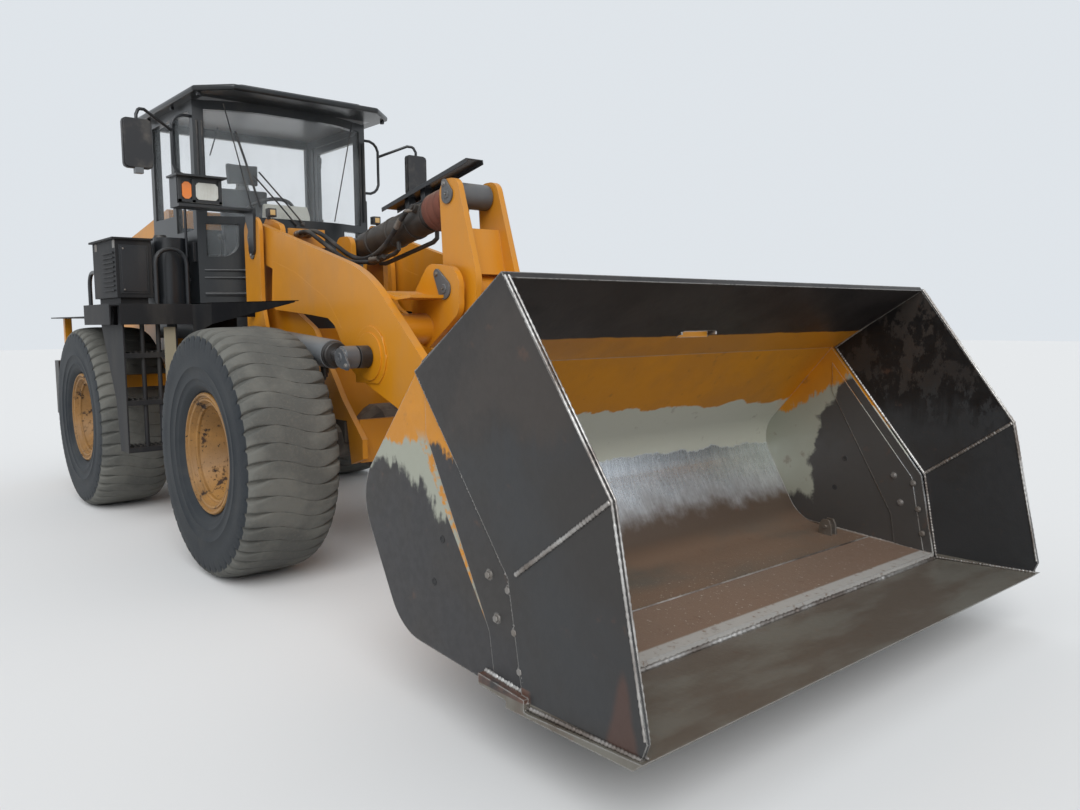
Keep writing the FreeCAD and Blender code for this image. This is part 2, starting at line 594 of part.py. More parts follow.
fork_rows = [("XY", low, "fork_thick", lug_outline("neck_front"))
             for low in ("upper_lug_z - plate_gap - fork_thick", "upper_lug_z + lug_thick + plate_gap",
                         "lower_lug_z - plate_gap - fork_thick", "lower_lug_z + lug_thick + plate_gap")]
inner_rect = lambda low, high: rectangle("-frame_half + frame_plate", low, "frame_half - frame_plate", high)
front_plates = weldment(
    "front_frame_plates",
    side=(
        ("XZ", side_y, "frame_plate", front_side),
        ("XZ", tower_out, "tower_plate", tower_side),
        ("YZ", "root_x - 140", "30", rectangle("frame_half", "1350", tower_out, "1720")),
        ("XY", "1350", "30", rectangle("root_x - 140", "frame_half", "-180", tower_out)),
        ("XZ", "frame_half", "boom_in + boom_thick + tower_gap - frame_half",
         circle("root_x", "root_z", "root_pin_radius")),
        ("XZ", tower_out, "lift_y + lift_eye_half + 30 - (%s)" % tower_out,
         circle("lift_tail_x", "lift_tail_z", "lift_pin_radius")),
    ),
    centre=[("YZ", "steer_x + neck_front", "40", inner_rect("frame_low", "1500"))]
    + fork_rows
    + [("XY", low, "lug_thick + 2 * (plate_gap + fork_thick)", circle("steer_x", "0", "steer_pin_radius"))
       for low in ("upper_lug_z - plate_gap - fork_thick", "lower_lug_z - plate_gap - fork_thick")]
    + [("YZ", "60", "40", inner_rect("frame_low + 60", "1560")),
       ("YZ", "760", "40", inner_rect("660", "950")),
       ("XY", "1500", "30", rectangle("-640", "-frame_half + frame_plate", "100",
                                      "frame_half - frame_plate")),
       ("XZ", "-60", "120", rectangle("-10", "1500", "230", "1900"))],
)
tilt_lug = (("tilt_tail_x - 160", "1500"), ("tilt_tail_x + 140", "1500"),
            ("tilt_tail_x + 110", "tilt_tail_z + 90", 80),
            ("tilt_tail_x - 110", "tilt_tail_z + 90", 80))
tilt_lugs = weldment(
    "tilt_lugs",
    side=(("XZ", "tilt_eye_half + plate_gap", "frame_plate", tilt_lug),),
    centre=(("XZ", "-tilt_eye_half - plate_gap", "2 * (tilt_eye_half + plate_gap)",
             circle("tilt_tail_x", "tilt_tail_z", "lift_pin_radius")),))
steer_eye_lugs = weldment(
    "steer_eye_lugs",
    side=[("XY", low, "steer_lug_plate",
           (("steer_eye_x - 55", "steer_eye_y - 60", 40), ("steer_eye_x - 55", "steer_eye_y + 60", 40),
            ("steer_x + neck_front", "steer_eye_y + 80"), ("steer_x + neck_front", "steer_eye_y - 90")))
          for low in ("steer_cyl_z - steer_eye_half - layer_gap - steer_lug_plate",
                      "steer_cyl_z + steer_eye_half + layer_gap")])
node("front_frame", fuse("front_frame", front_plates, tilt_lugs, steer_eye_lugs))

# Boom: two thick arms, a cross tube, and the bracket that carries the bell crank
arm_outline = (
    ("root_x - 140", "root_z + 150", 120), ("1150", "1920", 1100), ("1900", "1270", 500),
    ("tip_x + 110", "tip_z - 20", 100), ("tip_x - 60", "tip_z - 130", 100), ("1500", "1080", 300),
    ("1180", "1190", 120), ("930", "1290", 150), ("650", "1680", 150), ("150", "1890", 400),
    ("root_x - 140", "root_z - 130", 120),
)
arm_out = "boom_in + boom_thick"
boom = weldment(
    "boom",
    side=(
        ("XZ", "boom_in", "boom_thick", arm_outline),
        ("XZ", "boom_in - boss_out", "boom_thick + 2 * boss_out", circle("tip_x", "tip_z", "tip_radius - 5")),
        ("XZ", "boom_in - boss_out", "boom_thick + 2 * boss_out",
         circle("root_x", "root_z", "boom_root_radius - 25")),
        ("XZ", arm_out, "20", circle("lift_pin_x", "lift_pin_z", "150")),
        ("XZ", "crank_hub_half + layer_gap", "bracket_plate",
         (("crank_x + bracket_radius - 20", "crank_z + bracket_radius - 40", 130),
          ("crank_x - 180", "crank_z + bracket_radius", 120),
          ("cross_tube_x - 160", "cross_tube_z + 180", 60),
          ("cross_tube_x - 120", "cross_tube_z - 60", 80), ("cross_tube_x + 30", "cross_tube_z - 130", 60),
          ("crank_x + bracket_radius - 20", "crank_z - bracket_radius + 20", 100))),
        ("XZ", "crank_hub_half + layer_gap + bracket_plate",
         "boom_in - crank_hub_half - layer_gap - bracket_plate",
         (("1240", "1770"), ("1400", "1735"), ("1560", "1745"), ("1560", "1765"), ("1400", "1757"),
          ("1240", "1795"))),
    ),
    side_cuts=(
        ("XZ", "boom_in - boss_out", "boom_thick + 2 * boss_out",
         circle("tip_x", "tip_z", "tip_pin_radius + pin_fit")),
        ("XZ", "boom_in - boss_out", "boom_thick + 2 * boss_out",
         circle("root_x", "root_z", "root_pin_radius + pin_fit")),
    ),
    centre=(
        ("XZ", "-boom_in", "2 * boom_in", circle("cross_tube_x", "cross_tube_z", "cross_tube_radius")),
        ("XZ", "-crank_hub_half - layer_gap", "2 * (crank_hub_half + layer_gap)",
         circle("crank_x", "crank_z", "crank_pin_radius")),
    ),
)
node("boom", boom)

# Bell crank: two plates, a web between them and the hub
crank = weldment(
    "bell_crank",
    side=(("XZ", "crank_in", "crank_plate",
           (("crank_top_x - 95", "crank_top_z + 95", 85), ("crank_top_x + 95", "crank_top_z + 95", 85),
            ("crank_x + 230", "crank_z + 60", 200), ("crank_x + 150", "crank_z - 420", 300),
            ("crank_low_x + 90", "crank_low_z - 80", 80), ("crank_low_x - 90", "crank_low_z - 80", 80),
            ("crank_x - 20", "crank_z - 420", 300), ("crank_x - 115", "crank_z", 110))),),
    centre=(
        ("XZ", "-crank_hub_half", "2 * crank_hub_half", circle("crank_x", "crank_z", "crank_hub_radius")),
        ("XZ", "-crank_in", "2 * crank_in",
         (("crank_x + 60", "crank_z + 90"), ("crank_x + 120", "crank_z + 90"),
          ("crank_x + 60", "crank_z + 370"),
          ("crank_x + 20", "crank_z + 370"))),
        ("XZ", "-crank_in", "2 * crank_in",
         (("crank_x + 30", "crank_z - 90"), ("crank_x + 90", "crank_z - 90"),
          ("crank_x + 110", "crank_z - 560"),
          ("crank_x + 60", "crank_z - 560"))),
    ),
    cuts=(("XZ", "-crank_hub_half", "2 * crank_hub_half",
           circle("crank_x", "crank_z", "crank_pin_radius + pin_fit")),),
)
node("bell_crank", crank)


def along(a, b):
    """Expressions for the angle and length between two pins (x, z) in side view."""
    across, up = "(%s - %s)" % (b[0], a[0]), "(%s - %s)" % (b[1], a[1])
    return "-atan2(%s; %s)" % (up, across), "sqrt(%s ^ 2 + %s ^ 2)" % (across, up)


def set_line(item, tail, y, angle):
    """Lays a piece that is built along its own X axis between two pins."""
    item.Placement = FreeCAD.Placement(Vector(), FreeCAD.Rotation(Vector(0, 1, 0), 1))
    bind(item, Placement__Base__x=tail[0], Placement__Base__z=tail[1], Placement__Rotation__Angle=angle)
    if y != "0":
        bind(item, Placement__Base__y=y)
    return item


# Tilt link between the bell crank and the bucket
link_tail, link_head = ("crank_low_x", "crank_low_z"), ("link_x", "link_z")
link_angle, link_length = along(link_tail, link_head)
link = weldment(
    "link_bar",
    centre=(
        ("XZ", "-link_half", "2 * link_half",
         (("-link_eye_radius", "-link_depth / 2 - 15", 60), ("-link_eye_radius", "link_depth / 2 + 15", 60),
          ("%s + link_eye_radius" % link_length, "link_depth / 2 + 15", 60),
          ("%s + link_eye_radius" % link_length, "-link_depth / 2 - 15", 60))),
        ("XZ", "layer_gap - crank_in", "2 * (crank_in - layer_gap)",
         circle("0", "0", "link_eye_radius - 10")),
        ("XZ", "layer_gap - link_lug_in", "2 * (link_lug_in - layer_gap)",
         circle(link_length, "0", "link_eye_radius - 5")),
    ),
    cuts=(("XZ", "layer_gap - link_lug_in", "2 * (link_lug_in - layer_gap)",
           circle(link_length, "0", "link_pin_radius + pin_fit")),),
)
set_line(link, link_tail, "0", link_angle)
node("tilt_link", link)


# Cylinders: barrel with its tail eye and gland, rod with its head eye
CYLINDER_SIDES = 16


def make_barrel(name, radius, length, rod, eye, eye_half, pin, plane="XZ"):
    """A barrel along X from its tail pin."""
    tube = lathe(name + "_tube", "x", CYLINDER_SIDES, (
        ("0", "%s * 0.9" % eye_half), ("%s + 15" % eye, radius), ("%s - 45" % length, radius),
        ("%s - 45" % length, "%s - 12" % radius), (length, "%s - 12" % radius),
        (length, "%s + pin_fit" % rod), ("%s + 60" % eye, "%s + pin_fit" % rod), ("%s + 60" % eye, "0"),
        ("0", "0")))
    knuckle = weldment(name + "_eye", centre=((plane, "-(%s)" % eye_half, "2 * (%s)" % eye_half,
                                               circle("0", "0", eye)),))
    hole = weldment(name + "_hole", centre=((plane, "-(%s) - 1" % radius, "2 * (%s) + 2" % radius,
                                             circle("0", "0", "%s + pin_fit" % pin)),))
    return cut(name, fuse(name + "_solid", tube, knuckle), hole)


def make_rod(name, start, length, rod, eye, low, thick, plane="XZ"):
    """A rod along X, measured from the barrel's tail pin, with a solid pinned eye."""
    shank = lathe(name + "_shank", "x", CYLINDER_SIDES,
                  ((start, "0"), (start, rod), (length, rod), (length, "0")))
    return fuse(name, shank, weldment(name + "_eye", centre=((plane, low, thick, circle(length, "0", eye)),)))


lift_tail, lift_head = ("lift_tail_x", "lift_tail_z"), ("lift_pin_x", "lift_pin_z")
lift_angle, lift_length = along(lift_tail, lift_head)
tilt_tail, tilt_head = ("tilt_tail_x", "tilt_tail_z"), ("crank_top_x", "crank_top_z")
tilt_angle, tilt_length = along(tilt_tail, tilt_head)

left = make_barrel("lift_barrel_left", "lift_barrel_radius", "lift_barrel_length", "lift_rod_radius",
                   "lift_eye_radius", "lift_eye_half", "lift_pin_radius")
node("lift_barrel_left", set_line(left, lift_tail, "lift_y", lift_angle))
node("lift_barrel_right", mirrored("lift_barrel_right", left))
left = make_rod("lift_rod_left", "lift_eye_radius + 130", lift_length, "lift_rod_radius",
                "lift_eye_radius - 10",
                "-lift_y + boom_in + boom_thick + 20 + layer_gap",
                "lift_y - boom_in - boom_thick - 20 - layer_gap + lift_eye_half")
node("lift_rod_left", set_line(left, lift_tail, "lift_y", lift_angle))
node("lift_rod_right", mirrored("lift_rod_right", left))

barrel = make_barrel("tilt_barrel", "tilt_barrel_radius", "tilt_barrel_length", "tilt_rod_radius",
                     "tilt_eye_radius", "tilt_eye_half", "lift_pin_radius")
collar = lathe("tilt_collar", "x", CYLINDER_SIDES, (
    ("tilt_barrel_length", "tilt_rod_radius + pin_fit"), ("tilt_barrel_length", "tilt_collar_radius - 18"),
    ("tilt_barrel_length + 18", "tilt_collar_radius"),
    ("tilt_barrel_length + tilt_collar_length", "tilt_collar_radius"),
    ("tilt_barrel_length + tilt_collar_length", "tilt_rod_radius + pin_fit")))
node("tilt_barrel", set_line(barrel, tilt_tail, "0", tilt_angle))
node("tilt_collar", set_line(collar, tilt_tail, "0", tilt_angle))
rod = make_rod("tilt_rod", "tilt_eye_radius + 110", tilt_length, "tilt_rod_radius", "tilt_eye_radius - 5",
               "layer_gap - crank_in", "2 * (crank_in - layer_gap)")
node("tilt_rod", set_line(rod, tilt_tail, "0", tilt_angle))
guard = weldment("tilt_guard", centre=(
    ("XZ", "-90", "180", (("330", "150"), ("1520", "235"), ("1520", "247"), ("330", "162"))),
    ("XZ", "-30", "60", rectangle("700", "tilt_barrel_radius + pin_fit", "760", "190")),
    ("XZ", "-30", "60", rectangle("900", "tilt_barrel_radius + pin_fit", "960", "200"))))
node("tilt_guard", set_line(guard, tilt_tail, "0", tilt_angle))

steer_length = "sqrt((steer_eye_x - steer_tail_x) ^ 2 + (steer_eye_y - steer_tail_y) ^ 2)"
steer_angle = "atan2(steer_eye_y - steer_tail_y; steer_eye_x - steer_tail_x)"
for kind, piece in (
        ("barrel", make_barrel("steer_barrel_left", "steer_barrel_radius", "steer_barrel_length",
                               "steer_rod_radius",
                               "steer_eye_radius", "steer_eye_half", "steer_end_pin_radius", "XY")),
        ("rod", make_rod("steer_rod_left", "steer_rod_start", steer_length, "steer_rod_radius",
                         "steer_eye_radius", "-steer_eye_half", "2 * steer_eye_half", "XY"))):
    piece.Placement = FreeCAD.Placement(Vector(), FreeCAD.Rotation(Vector(0, 0, 1), 1))
    bind(piece, Placement__Base__x="steer_tail_x", Placement__Base__y="steer_tail_y",
         Placement__Base__z="steer_cyl_z", Placement__Rotation__Angle=steer_angle)
    node("steer_%s_left" % kind, piece)
    node("steer_%s_right" % kind, mirrored("steer_%s_right" % kind, piece))

# Bucket: wrapper and cheeks, lugs for the boom and the link
bucket_lug = (("tip_x - 110", "tip_z - 110", 100), ("tip_x - 110", "tip_z + 110", 100),
              ("back_x + 30", "back_z - 30"),
              ("heel_x - 75", "heel_z + 140"), ("heel_x - 40", "heel_z + 50"))
link_lug = (("link_x - 80", "link_z - 80", 70), ("link_x - 80", "link_z + 80", 70),
            ("back_x + 55", "back_z + 60"),
            ("back_x + 45", "back_z - 30"), ("heel_x - 75", "heel_z + 140"), ("heel_x - 60", "heel_z + 60"))
bucket = weldment(
    "bucket",
    centre=(("XZ", "-bucket_half", "2 * bucket_half",
             (("edge_x", "edge_z"), ("edge_x", "edge_z + 30"), ("cheek_x", "cheek_z"), ("crown_x", "crown_z"),
              ("crown_x - 14", "crown_z + 21"), ("back_x", "back_z", 220), ("heel_x", "heel_z", 260))),),
    cuts=(("XZ", "-bucket_half + bucket_wall", "2 * (bucket_half - bucket_wall)",
           (("edge_x + 100", "edge_z + bucket_wall"), ("edge_x + 100", "crown_z + 200"),
            ("crown_x + 200", "crown_z + 200"), ("crown_x", "crown_z"),
            ("back_x + bucket_wall * 1.2", "back_z", 195), ("heel_x + 12", "heel_z + bucket_wall", 235))),),
)
bucket_lugs = weldment(
    "bucket_lugs",
    side=[("XZ", low, "lug_plate", bucket_lug)
          for low in ("boom_in - boss_out - plate_gap - lug_plate",
                      "boom_in + boom_thick + boss_out + plate_gap")]
    + [("XZ", "boom_in - boss_out - plate_gap - lug_plate",
        "boom_thick + 2 * (boss_out + plate_gap + lug_plate)",
        circle("tip_x", "tip_z", "tip_pin_radius")),
       ("XZ", "link_lug_in", "lug_plate", link_lug)],
    centre=(("XZ", "-link_lug_in", "2 * link_lug_in", circle("link_x", "link_z", "link_pin_radius")),))
node("bucket", fuse("bucket", bucket, bucket_lugs))

# Plates welded on to enlarge the bucket
skin = (("crown_x - skin_lap", "crown_z - 20"), ("peak_x", "peak_z"), ("knuckle_x", "knuckle_z"),
        ("lip_x", "lip_z"),
        ("lip_x - 30", "edge_z + 5"), ("edge_x - skin_lap", "edge_z - 8"),
        ("cheek_x - skin_lap", "cheek_z - 20"))
lip_half = "bucket_half + skin_plate + lip_over"


def floor_at(place):
    """The height of the bucket's bottom at a place along X."""
    return "edge_z + (edge_x - (%s)) * (heel_z - edge_z) / (edge_x - heel_x)" % place


lip_rear_top = floor_at("lip_rear_x")
blade_rear, blade_front = floor_at("blade_rear_x"), floor_at("edge_x - 20")
extension = weldment(
    "bucket_extension",
    side=(("XZ", "bucket_half", "skin_plate", skin),
          ("XZ", "bucket_half", "skin_plate + lip_over",
           (("blade_rear_x", blade_rear), ("edge_x - 20", blade_front),
            ("edge_x - 20", blade_front + " + blade_thick"), ("blade_rear_x", blade_rear + " + blade_thick")))),
    centre=(
        ("XZ", "-bucket_half", "2 * bucket_half",
         (("crown_x - 14", "crown_z + 21"), ("crown_x", "crown_z"), ("peak_x + 14", "peak_z - 21"),
          ("peak_x", "peak_z"))),
        ("XZ", "-(%s)" % lip_half, "2 * (%s)" % lip_half,
         (("lip_rear_x", "%s - lip_thick" % lip_rear_top), ("lip_x - 40", "edge_z - 8"),
          ("lip_x", "edge_z + 26"),
          ("edge_x", "edge_z"), ("lip_rear_x", lip_rear_top))),
    ),
    cuts=(("XY", "crown_z", "peak_z - crown_z",
           rectangle("slot_x", "slot_right", "slot_x + slot_width", "slot_left")),),
)
node("bucket_extension", extension)

# Cab: hollow body with its windows cut, roof, glass, left door


def common(name, first, last):
    """What two pieces share."""
    item = doc.addObject("Part::MultiCommon", name)
    item.Shapes = [first, last]
    return item


def bowed(front, half, rear):
    """Plan of the cab: square behind and bowed in front."""
    return ((rear, "-(%s)" % half), (front, "-(%s)" % half),
            ("%s + glass_bow" % front, "-0.5 * (%s)" % half, 700),
            ("%s + glass_bow" % front, "0.5 * (%s)" % half, 700), (front, half), (rear, half))


def corner_window(side, margin):
    """The low window in a front corner of the cab, less a margin, with its lower inner corner rounded."""
    across = ["%d * (%s)" % (side, place) for place in ("corner_out - %s" % margin,
                                                        "corner_in + %s" % margin)]
    return ((across[0], "corner_low + %s" % margin), (across[1], "corner_low + %s" % margin, "corner_round"),
            (across[1], "corner_high - %s" % margin), (across[0], "corner_high - %s" % margin))


cab_outer = bowed("cab_front_x", "cab_half", "cab_rear_x")
cab_inner = bowed("cab_front_x - cab_wall", "cab_half - cab_wall", "cab_rear_x + cab_wall")
door_front = "cab_front_x - pillar"
cab = weldment(
    "cab_shell",
    centre=(
        ("XY", "cab_low", "cab_top - cab_low", cab_outer),
        ("XY", "belly_low", "cab_low - belly_low",
         rectangle("cab_rear_x", "-belly_half", "cab_front_x - 120", "belly_half")),
    ),
    cuts=(
        ("XY", "cab_floor_z", "cab_top - cab_floor_z", cab_inner),
        ("YZ", "cab_front_x - cab_wall", "cab_wall + glass_bow",
         rectangle("-cab_half + pillar", "sill_z", "cab_half - pillar", "window_top")),
        ("YZ", "cab_rear_x", "cab_wall",
         rectangle("-cab_half + pillar", "sill_z", "cab_half - pillar", "window_top")),
        ("XZ", "-cab_half", "cab_wall", rectangle("mid_pillar_x + pillar / 2", "side_sill_z", door_front,
                                                  "window_top")),
        ("XZ", "-cab_half", "cab_wall",
         rectangle("cab_rear_x + pillar", "rear_sill_z", "mid_pillar_x - pillar / 2", "window_top")),
        ("YZ", "cab_front_x - cab_wall", "cab_wall + glass_bow", corner_window(1, "0")),
        ("YZ", "cab_front_x - cab_wall", "cab_wall + glass_bow", corner_window(-1, "0")),
        ("XZ", "cab_half - cab_wall", "cab_wall", rectangle("door_rear_x", "door_low", door_front,
                                                            "window_top")),
    ),
)
HINGE_HEIGHTS = ("door_low + 150", "side_sill_z + 200", "window_top - 150")
hinge_x, hinge_y = "door_rear_x - 6", "cab_half + 26"
cab_leaf = (("%s - 50" % hinge_x, "cab_half"), ("%s + 10" % hinge_x, "cab_half"),
            ("%s + 10" % hinge_x, "%s + 12" % hinge_y),
            ("%s - 50" % hinge_x, "%s + 12" % hinge_y))
door_leaf = (("%s - 12" % hinge_x, "%s - 14" % hinge_y), ("%s + 14" % hinge_x, "%s - 14" % hinge_y),
             ("%s + 24" % hinge_x, "cab_half"), ("%s + 70" % hinge_x, "cab_half"),
             ("%s + 70" % hinge_x, "cab_half + 12"), ("%s - 12" % hinge_x, "%s + 14" % hinge_y))
cab_hinges = weldment("cab_hinges", centre=[
    ("XY", "%s - 30" % height, "30 - pin_fit", cab_leaf)
    for height in HINGE_HEIGHTS] + [
    ("XY", "%s - 30" % height, "hinge_length + 30", circle(hinge_x, hinge_y, "hinge_pin_radius"))
    for height in HINGE_HEIGHTS])
node("cab_body", fuse("cab_body", cab, cab_hinges))


def roof_plan(inset):
    """Plan of the roof with its front corners cut off."""
    rear, front, half = "roof_rear_x + " + inset, "roof_front_x - " + inset, "(roof_half - %s)" % inset
    return ((rear, "-" + half, 80), (front + " - roof_corner", "-" + half), (front, "roof_corner - " + half),
            (front, half + " - roof_corner"), (front + " - roof_corner", half), (rear, half, 80))


roof = weldment("cab_roof", centre=(("XY", "cab_top", "roof_rim", roof_plan("0")),
                                    ("XY", "cab_top + roof_rim", "roof_thick - roof_rim",
                                     roof_plan("roof_step"))))
node("cab_roof", roof)


windscreen = weldment(
    "windscreen",
    centre=(("XY", "sill_z + pin_fit", "window_top - sill_z - 2 * pin_fit",
             bowed("cab_front_x - glass_set", "cab_half", "cab_front_x - 60")),),
    cuts=(
        ("XY", "sill_z", "window_top - sill_z",
         bowed("cab_front_x - glass_set - glass", "cab_half", "cab_front_x - 80")),
        ("XY", "sill_z", "window_top - sill_z",
         rectangle("cab_front_x - 90", "-cab_half - 10", "cab_front_x + 90", "-cab_half + pillar + pin_fit")),
        ("XY", "sill_z", "window_top - sill_z",
         rectangle("cab_front_x - 90", "cab_half - pillar - pin_fit", "cab_front_x + 90", "cab_half + 10")),
    ),
)
side_glass = [box("side_glass_%d" % number, (low, high), ("-cab_half + 20", "-cab_half + 20 + glass"),
                  (sill + " + pin_fit", "window_top - pin_fit"))
              for number, (low, high, sill) in enumerate((
                  ("mid_pillar_x + pillar / 2 + pin_fit", "cab_front_x - pillar - pin_fit", "side_sill_z"),
                  ("cab_rear_x + pillar + pin_fit", "mid_pillar_x - pillar / 2 - pin_fit", "rear_sill_z")))]
rear_glass = box("rear_glass", ("cab_rear_x + 20", "cab_rear_x + 20 + glass"),
                 ("-cab_half + pillar + pin_fit", "cab_half - pillar - pin_fit"),
                 ("sill_z + pin_fit", "window_top - pin_fit"))
corner_glass = []
for side in (1, -1):
    bend = weldment("corner_bend", centre=(("XY", "corner_low", "corner_high - corner_low",
                                            bowed("cab_front_x - glass_set", "cab_half",
                                                  "cab_front_x - 60")),),
                    cuts=(("XY", "corner_low", "corner_high - corner_low",
                           bowed("cab_front_x - glass_set - glass", "cab_half", "cab_front_x - 80")),))
    pane = weldment("corner_pane", centre=(("YZ", "cab_front_x - cab_wall", "cab_wall + glass_bow",
                                            corner_window(side, "pin_fit")),))
    corner_glass.append(common("corner_glass", bend, pane))
node("cab_glass", group("cab_glass", windscreen, rear_glass, *side_glass, *corner_glass))

door = weldment(
    "door_left",
    centre=(("XZ", "cab_half - cab_wall + 10", "cab_wall - 10",
             rectangle("door_rear_x + door_gap", "door_low + door_gap", "cab_front_x - pillar - door_gap",
                       "window_top - door_gap")),),
    cuts=(("XZ", "cab_half - cab_wall + 10", "cab_wall - 10",
           rectangle("door_rear_x + door_gap + door_stile", "side_sill_z",
                     "cab_front_x - pillar - door_gap - door_stile",
                     "window_top - door_gap - door_stile")),))
door_hinges = weldment("door_hinges", centre=[
    ("XY", height, "hinge_length", door_leaf) for height in HINGE_HEIGHTS],
    cuts=[("XY", height, "hinge_length", circle(hinge_x, hinge_y, "hinge_pin_radius + pin_fit"))
          for height in HINGE_HEIGHTS])
node("door_left", fuse("door_left", door, door_hinges))
node("door_glass", box("door_glass", ("door_rear_x + door_gap + door_stile + pin_fit",
                                      "cab_front_x - pillar - door_gap - door_stile - pin_fit"),
                       ("cab_half - 20 - glass", "cab_half - 20"),
                       ("side_sill_z + pin_fit", "window_top - door_gap - door_stile - pin_fit")))

# Driver's place
seat_foot = box("seat_foot", ("seat_x - seat_half + 60", "seat_x + seat_half - 60"),
                ("-seat_half + 60", "seat_half - 60"),
                ("cab_floor_z", "seat_z - cushion"))
node("seat_base", seat_foot)
seat = weldment("seat", centre=(
    ("XZ", "-seat_half", "2 * seat_half",
     (("seat_x - seat_half", "seat_z - cushion + 0.3"), ("seat_x + seat_half", "seat_z - cushion + 0.3", 50),
      ("seat_x + seat_half", "seat_z", 50), ("seat_x - seat_half + 130", "seat_z - 15", 40),
      ("seat_x - seat_half + 40", "seat_z + back_height", 45),
      ("seat_x - seat_half - 70", "seat_z + back_height", 45))),
    ("XZ", "-seat_half * 0.7", "seat_half * 1.4",
     (("seat_x - seat_half - 60", "seat_z + back_height - 10", 20),
      ("seat_x - seat_half + 20", "seat_z + back_height - 10", 20),
      ("seat_x - seat_half + 10", "seat_z + back_height + head_height", 30),
      ("seat_x - seat_half - 70", "seat_z + back_height + head_height", 30)))))
node("seat", seat)
console = weldment("dashboard_box", centre=(
    ("XZ", "-240", "480", (("cab_front_x - cab_wall - 180", "cab_floor_z"),
                           ("cab_front_x - cab_wall - 0.3", "cab_floor_z"),
                           ("cab_front_x - cab_wall - 0.3", "sill_z - 20"),
                           ("cab_front_x - cab_wall - 120", "sill_z + 10", 30),
                           ("cab_front_x - cab_wall - 150", "sill_z - 120"))),))


def lean(item, x, z):
    """Leans a piece back towards the seat."""
    item.Placement = FreeCAD.Placement(Vector(), FreeCAD.Rotation(Vector(0, 1, 0), -25))
    return bind(item, Placement__Base__x=x, Placement__Base__z=z)


column = doc.addObject("Part::Cylinder", "column")
bind(column, Radius="wheel_grip * 2", Height="column_length")
lean(column, "column_x", "wheel_z - column_length * cos(25)")
node("dashboard", fuse("dashboard", console, column))
ring = lathe("steering_ring", "z", 20, [
    ("70 + wheel_grip * sin(%d)" % angle, "wheel_ring + wheel_grip * cos(%d)" % angle) for angle in range(0,
                                                                                                          360, 60)])
wheel_hub = lathe("wheel_hub", "z", 8, (("pin_fit", "0"), ("pin_fit", "wheel_grip * 2"),
                                        ("60", "wheel_grip * 2"), ("60", "0")))
spokes = box("wheel_spokes", ("-15", "15"), ("-wheel_ring", "wheel_ring"), ("45", "65"))
node("steering_wheel", lean(fuse("steering_wheel", ring, wheel_hub, spokes),
                            "column_x - column_length * sin(25)", "wheel_z"))

# Hood with its side lids, grille, stacks, engine and counterweight
hood_slope = "(hood_front_z - hood_rear_z) / (hood_front_x - hood_rear_x)"
hood = weldment(
    "hood",
    centre=(("XZ", "-hood_half", "2 * hood_half",
             (("hood_rear_x", "weight_top"), ("hood_front_x", "weight_top"),
              ("hood_front_x", "hood_front_z", 40),
              ("hood_rear_x", "hood_rear_z", 160))),),
    cuts=(
        ("XZ", "-hood_half + hood_sheet", "2 * (hood_half - hood_sheet)",
         (("hood_rear_x - 50", "weight_top - 10"), ("hood_front_x - hood_sheet", "weight_top - 10"),
          ("hood_front_x - hood_sheet", "hood_front_z - hood_sheet - 2", 40),
          ("hood_rear_x", "hood_rear_z - hood_sheet - 2"),
          ("hood_rear_x - 50", "hood_rear_z - hood_sheet - 4"))),
        ("XZ", "-hood_half", "2 * hood_half", rectangle("lid_rear_x", "lid_low", "lid_front_x", "lid_top")),
    ),
)
hood_top_at = lambda x: "hood_rear_z + (%s - hood_rear_x) * %s" % (x, hood_slope)
bosses = [bar("%s_boss" % name, "z", (x, y, "%s - 15" % hood_top_at(x)), "boss_rise + 15", radius)
          for name, x, y, radius in (("stack", "stack_x", "stack_y", "stack_radius + 25"),
                                     ("intake", "intake_x", "intake_y", "intake_radius + 25"))]
node("hood", fuse("hood", hood, *bosses))
lid = weldment("lid_left", centre=(
    ("XZ", "hood_half + pin_fit", "hood_sheet",
     rectangle("lid_rear_x - lid_lap", "lid_low - lid_lap", "lid_front_x + lid_lap", "lid_top + lid_lap")),))
node("lid_left", lid)
node("lid_right", mirrored("lid_right", lid))

count = int(size("(hood_rear_z - weight_top - 2 * grille_frame - 120) / grille_pitch"))
frame_half_width = "hood_half - hood_sheet - 0.3"
grille_rows = [("XZ", "-(%s)" % frame_half_width, "2 * (%s)" % frame_half_width,
                rectangle("hood_rear_x", "weight_top + grille_frame + %d * grille_pitch" % number,
                          "hood_rear_x + 40",
                          "weight_top + grille_frame + %d * grille_pitch + grille_bar" % number))
               for number in range(1, count)]
grille = weldment(
    "grille",
    side=(("XZ", "hood_half - hood_sheet - grille_frame", "grille_frame - 0.3",
           rectangle("hood_rear_x", "weight_top + 0.3", "hood_rear_x + 50", "hood_rear_z - 170")),),
    centre=[("XZ", "-(%s)" % frame_half_width, "2 * (%s)" % frame_half_width,
             rectangle("hood_rear_x", low, "hood_rear_x + 50", high))
            for low, high in (("weight_top + 0.3", "weight_top + grille_frame"),
                              ("hood_rear_z - 170 - grille_frame", "hood_rear_z - 170"))] + grille_rows)
node("grille", grille)
node("engine_block", box("engine_block", ("engine_rear_x", "engine_front_x"), ("-engine_half", "engine_half"),
                         ("engine_low", "engine_top")))
stack = bar("exhaust_stack", "z", ("stack_x", "stack_y", "%s + boss_rise" % hood_top_at("stack_x")),
            "stack_top - (%s)" % hood_top_at("stack_x"), "stack_radius")
node("exhaust_stack", stack)
intake = lathe("air_intake", "z", 16, (
    ("0", "0"), ("0", "intake_radius"), ("160", "intake_radius"), ("190", "130"), ("270", "130"),
    ("310", "60"), ("310", "0")))
bind(intake, Placement__Base__x="intake_x", Placement__Base__y="intake_y",
     Placement__Base__z="%s + boss_rise" % hood_top_at("intake_x"))
node("air_intake", intake)
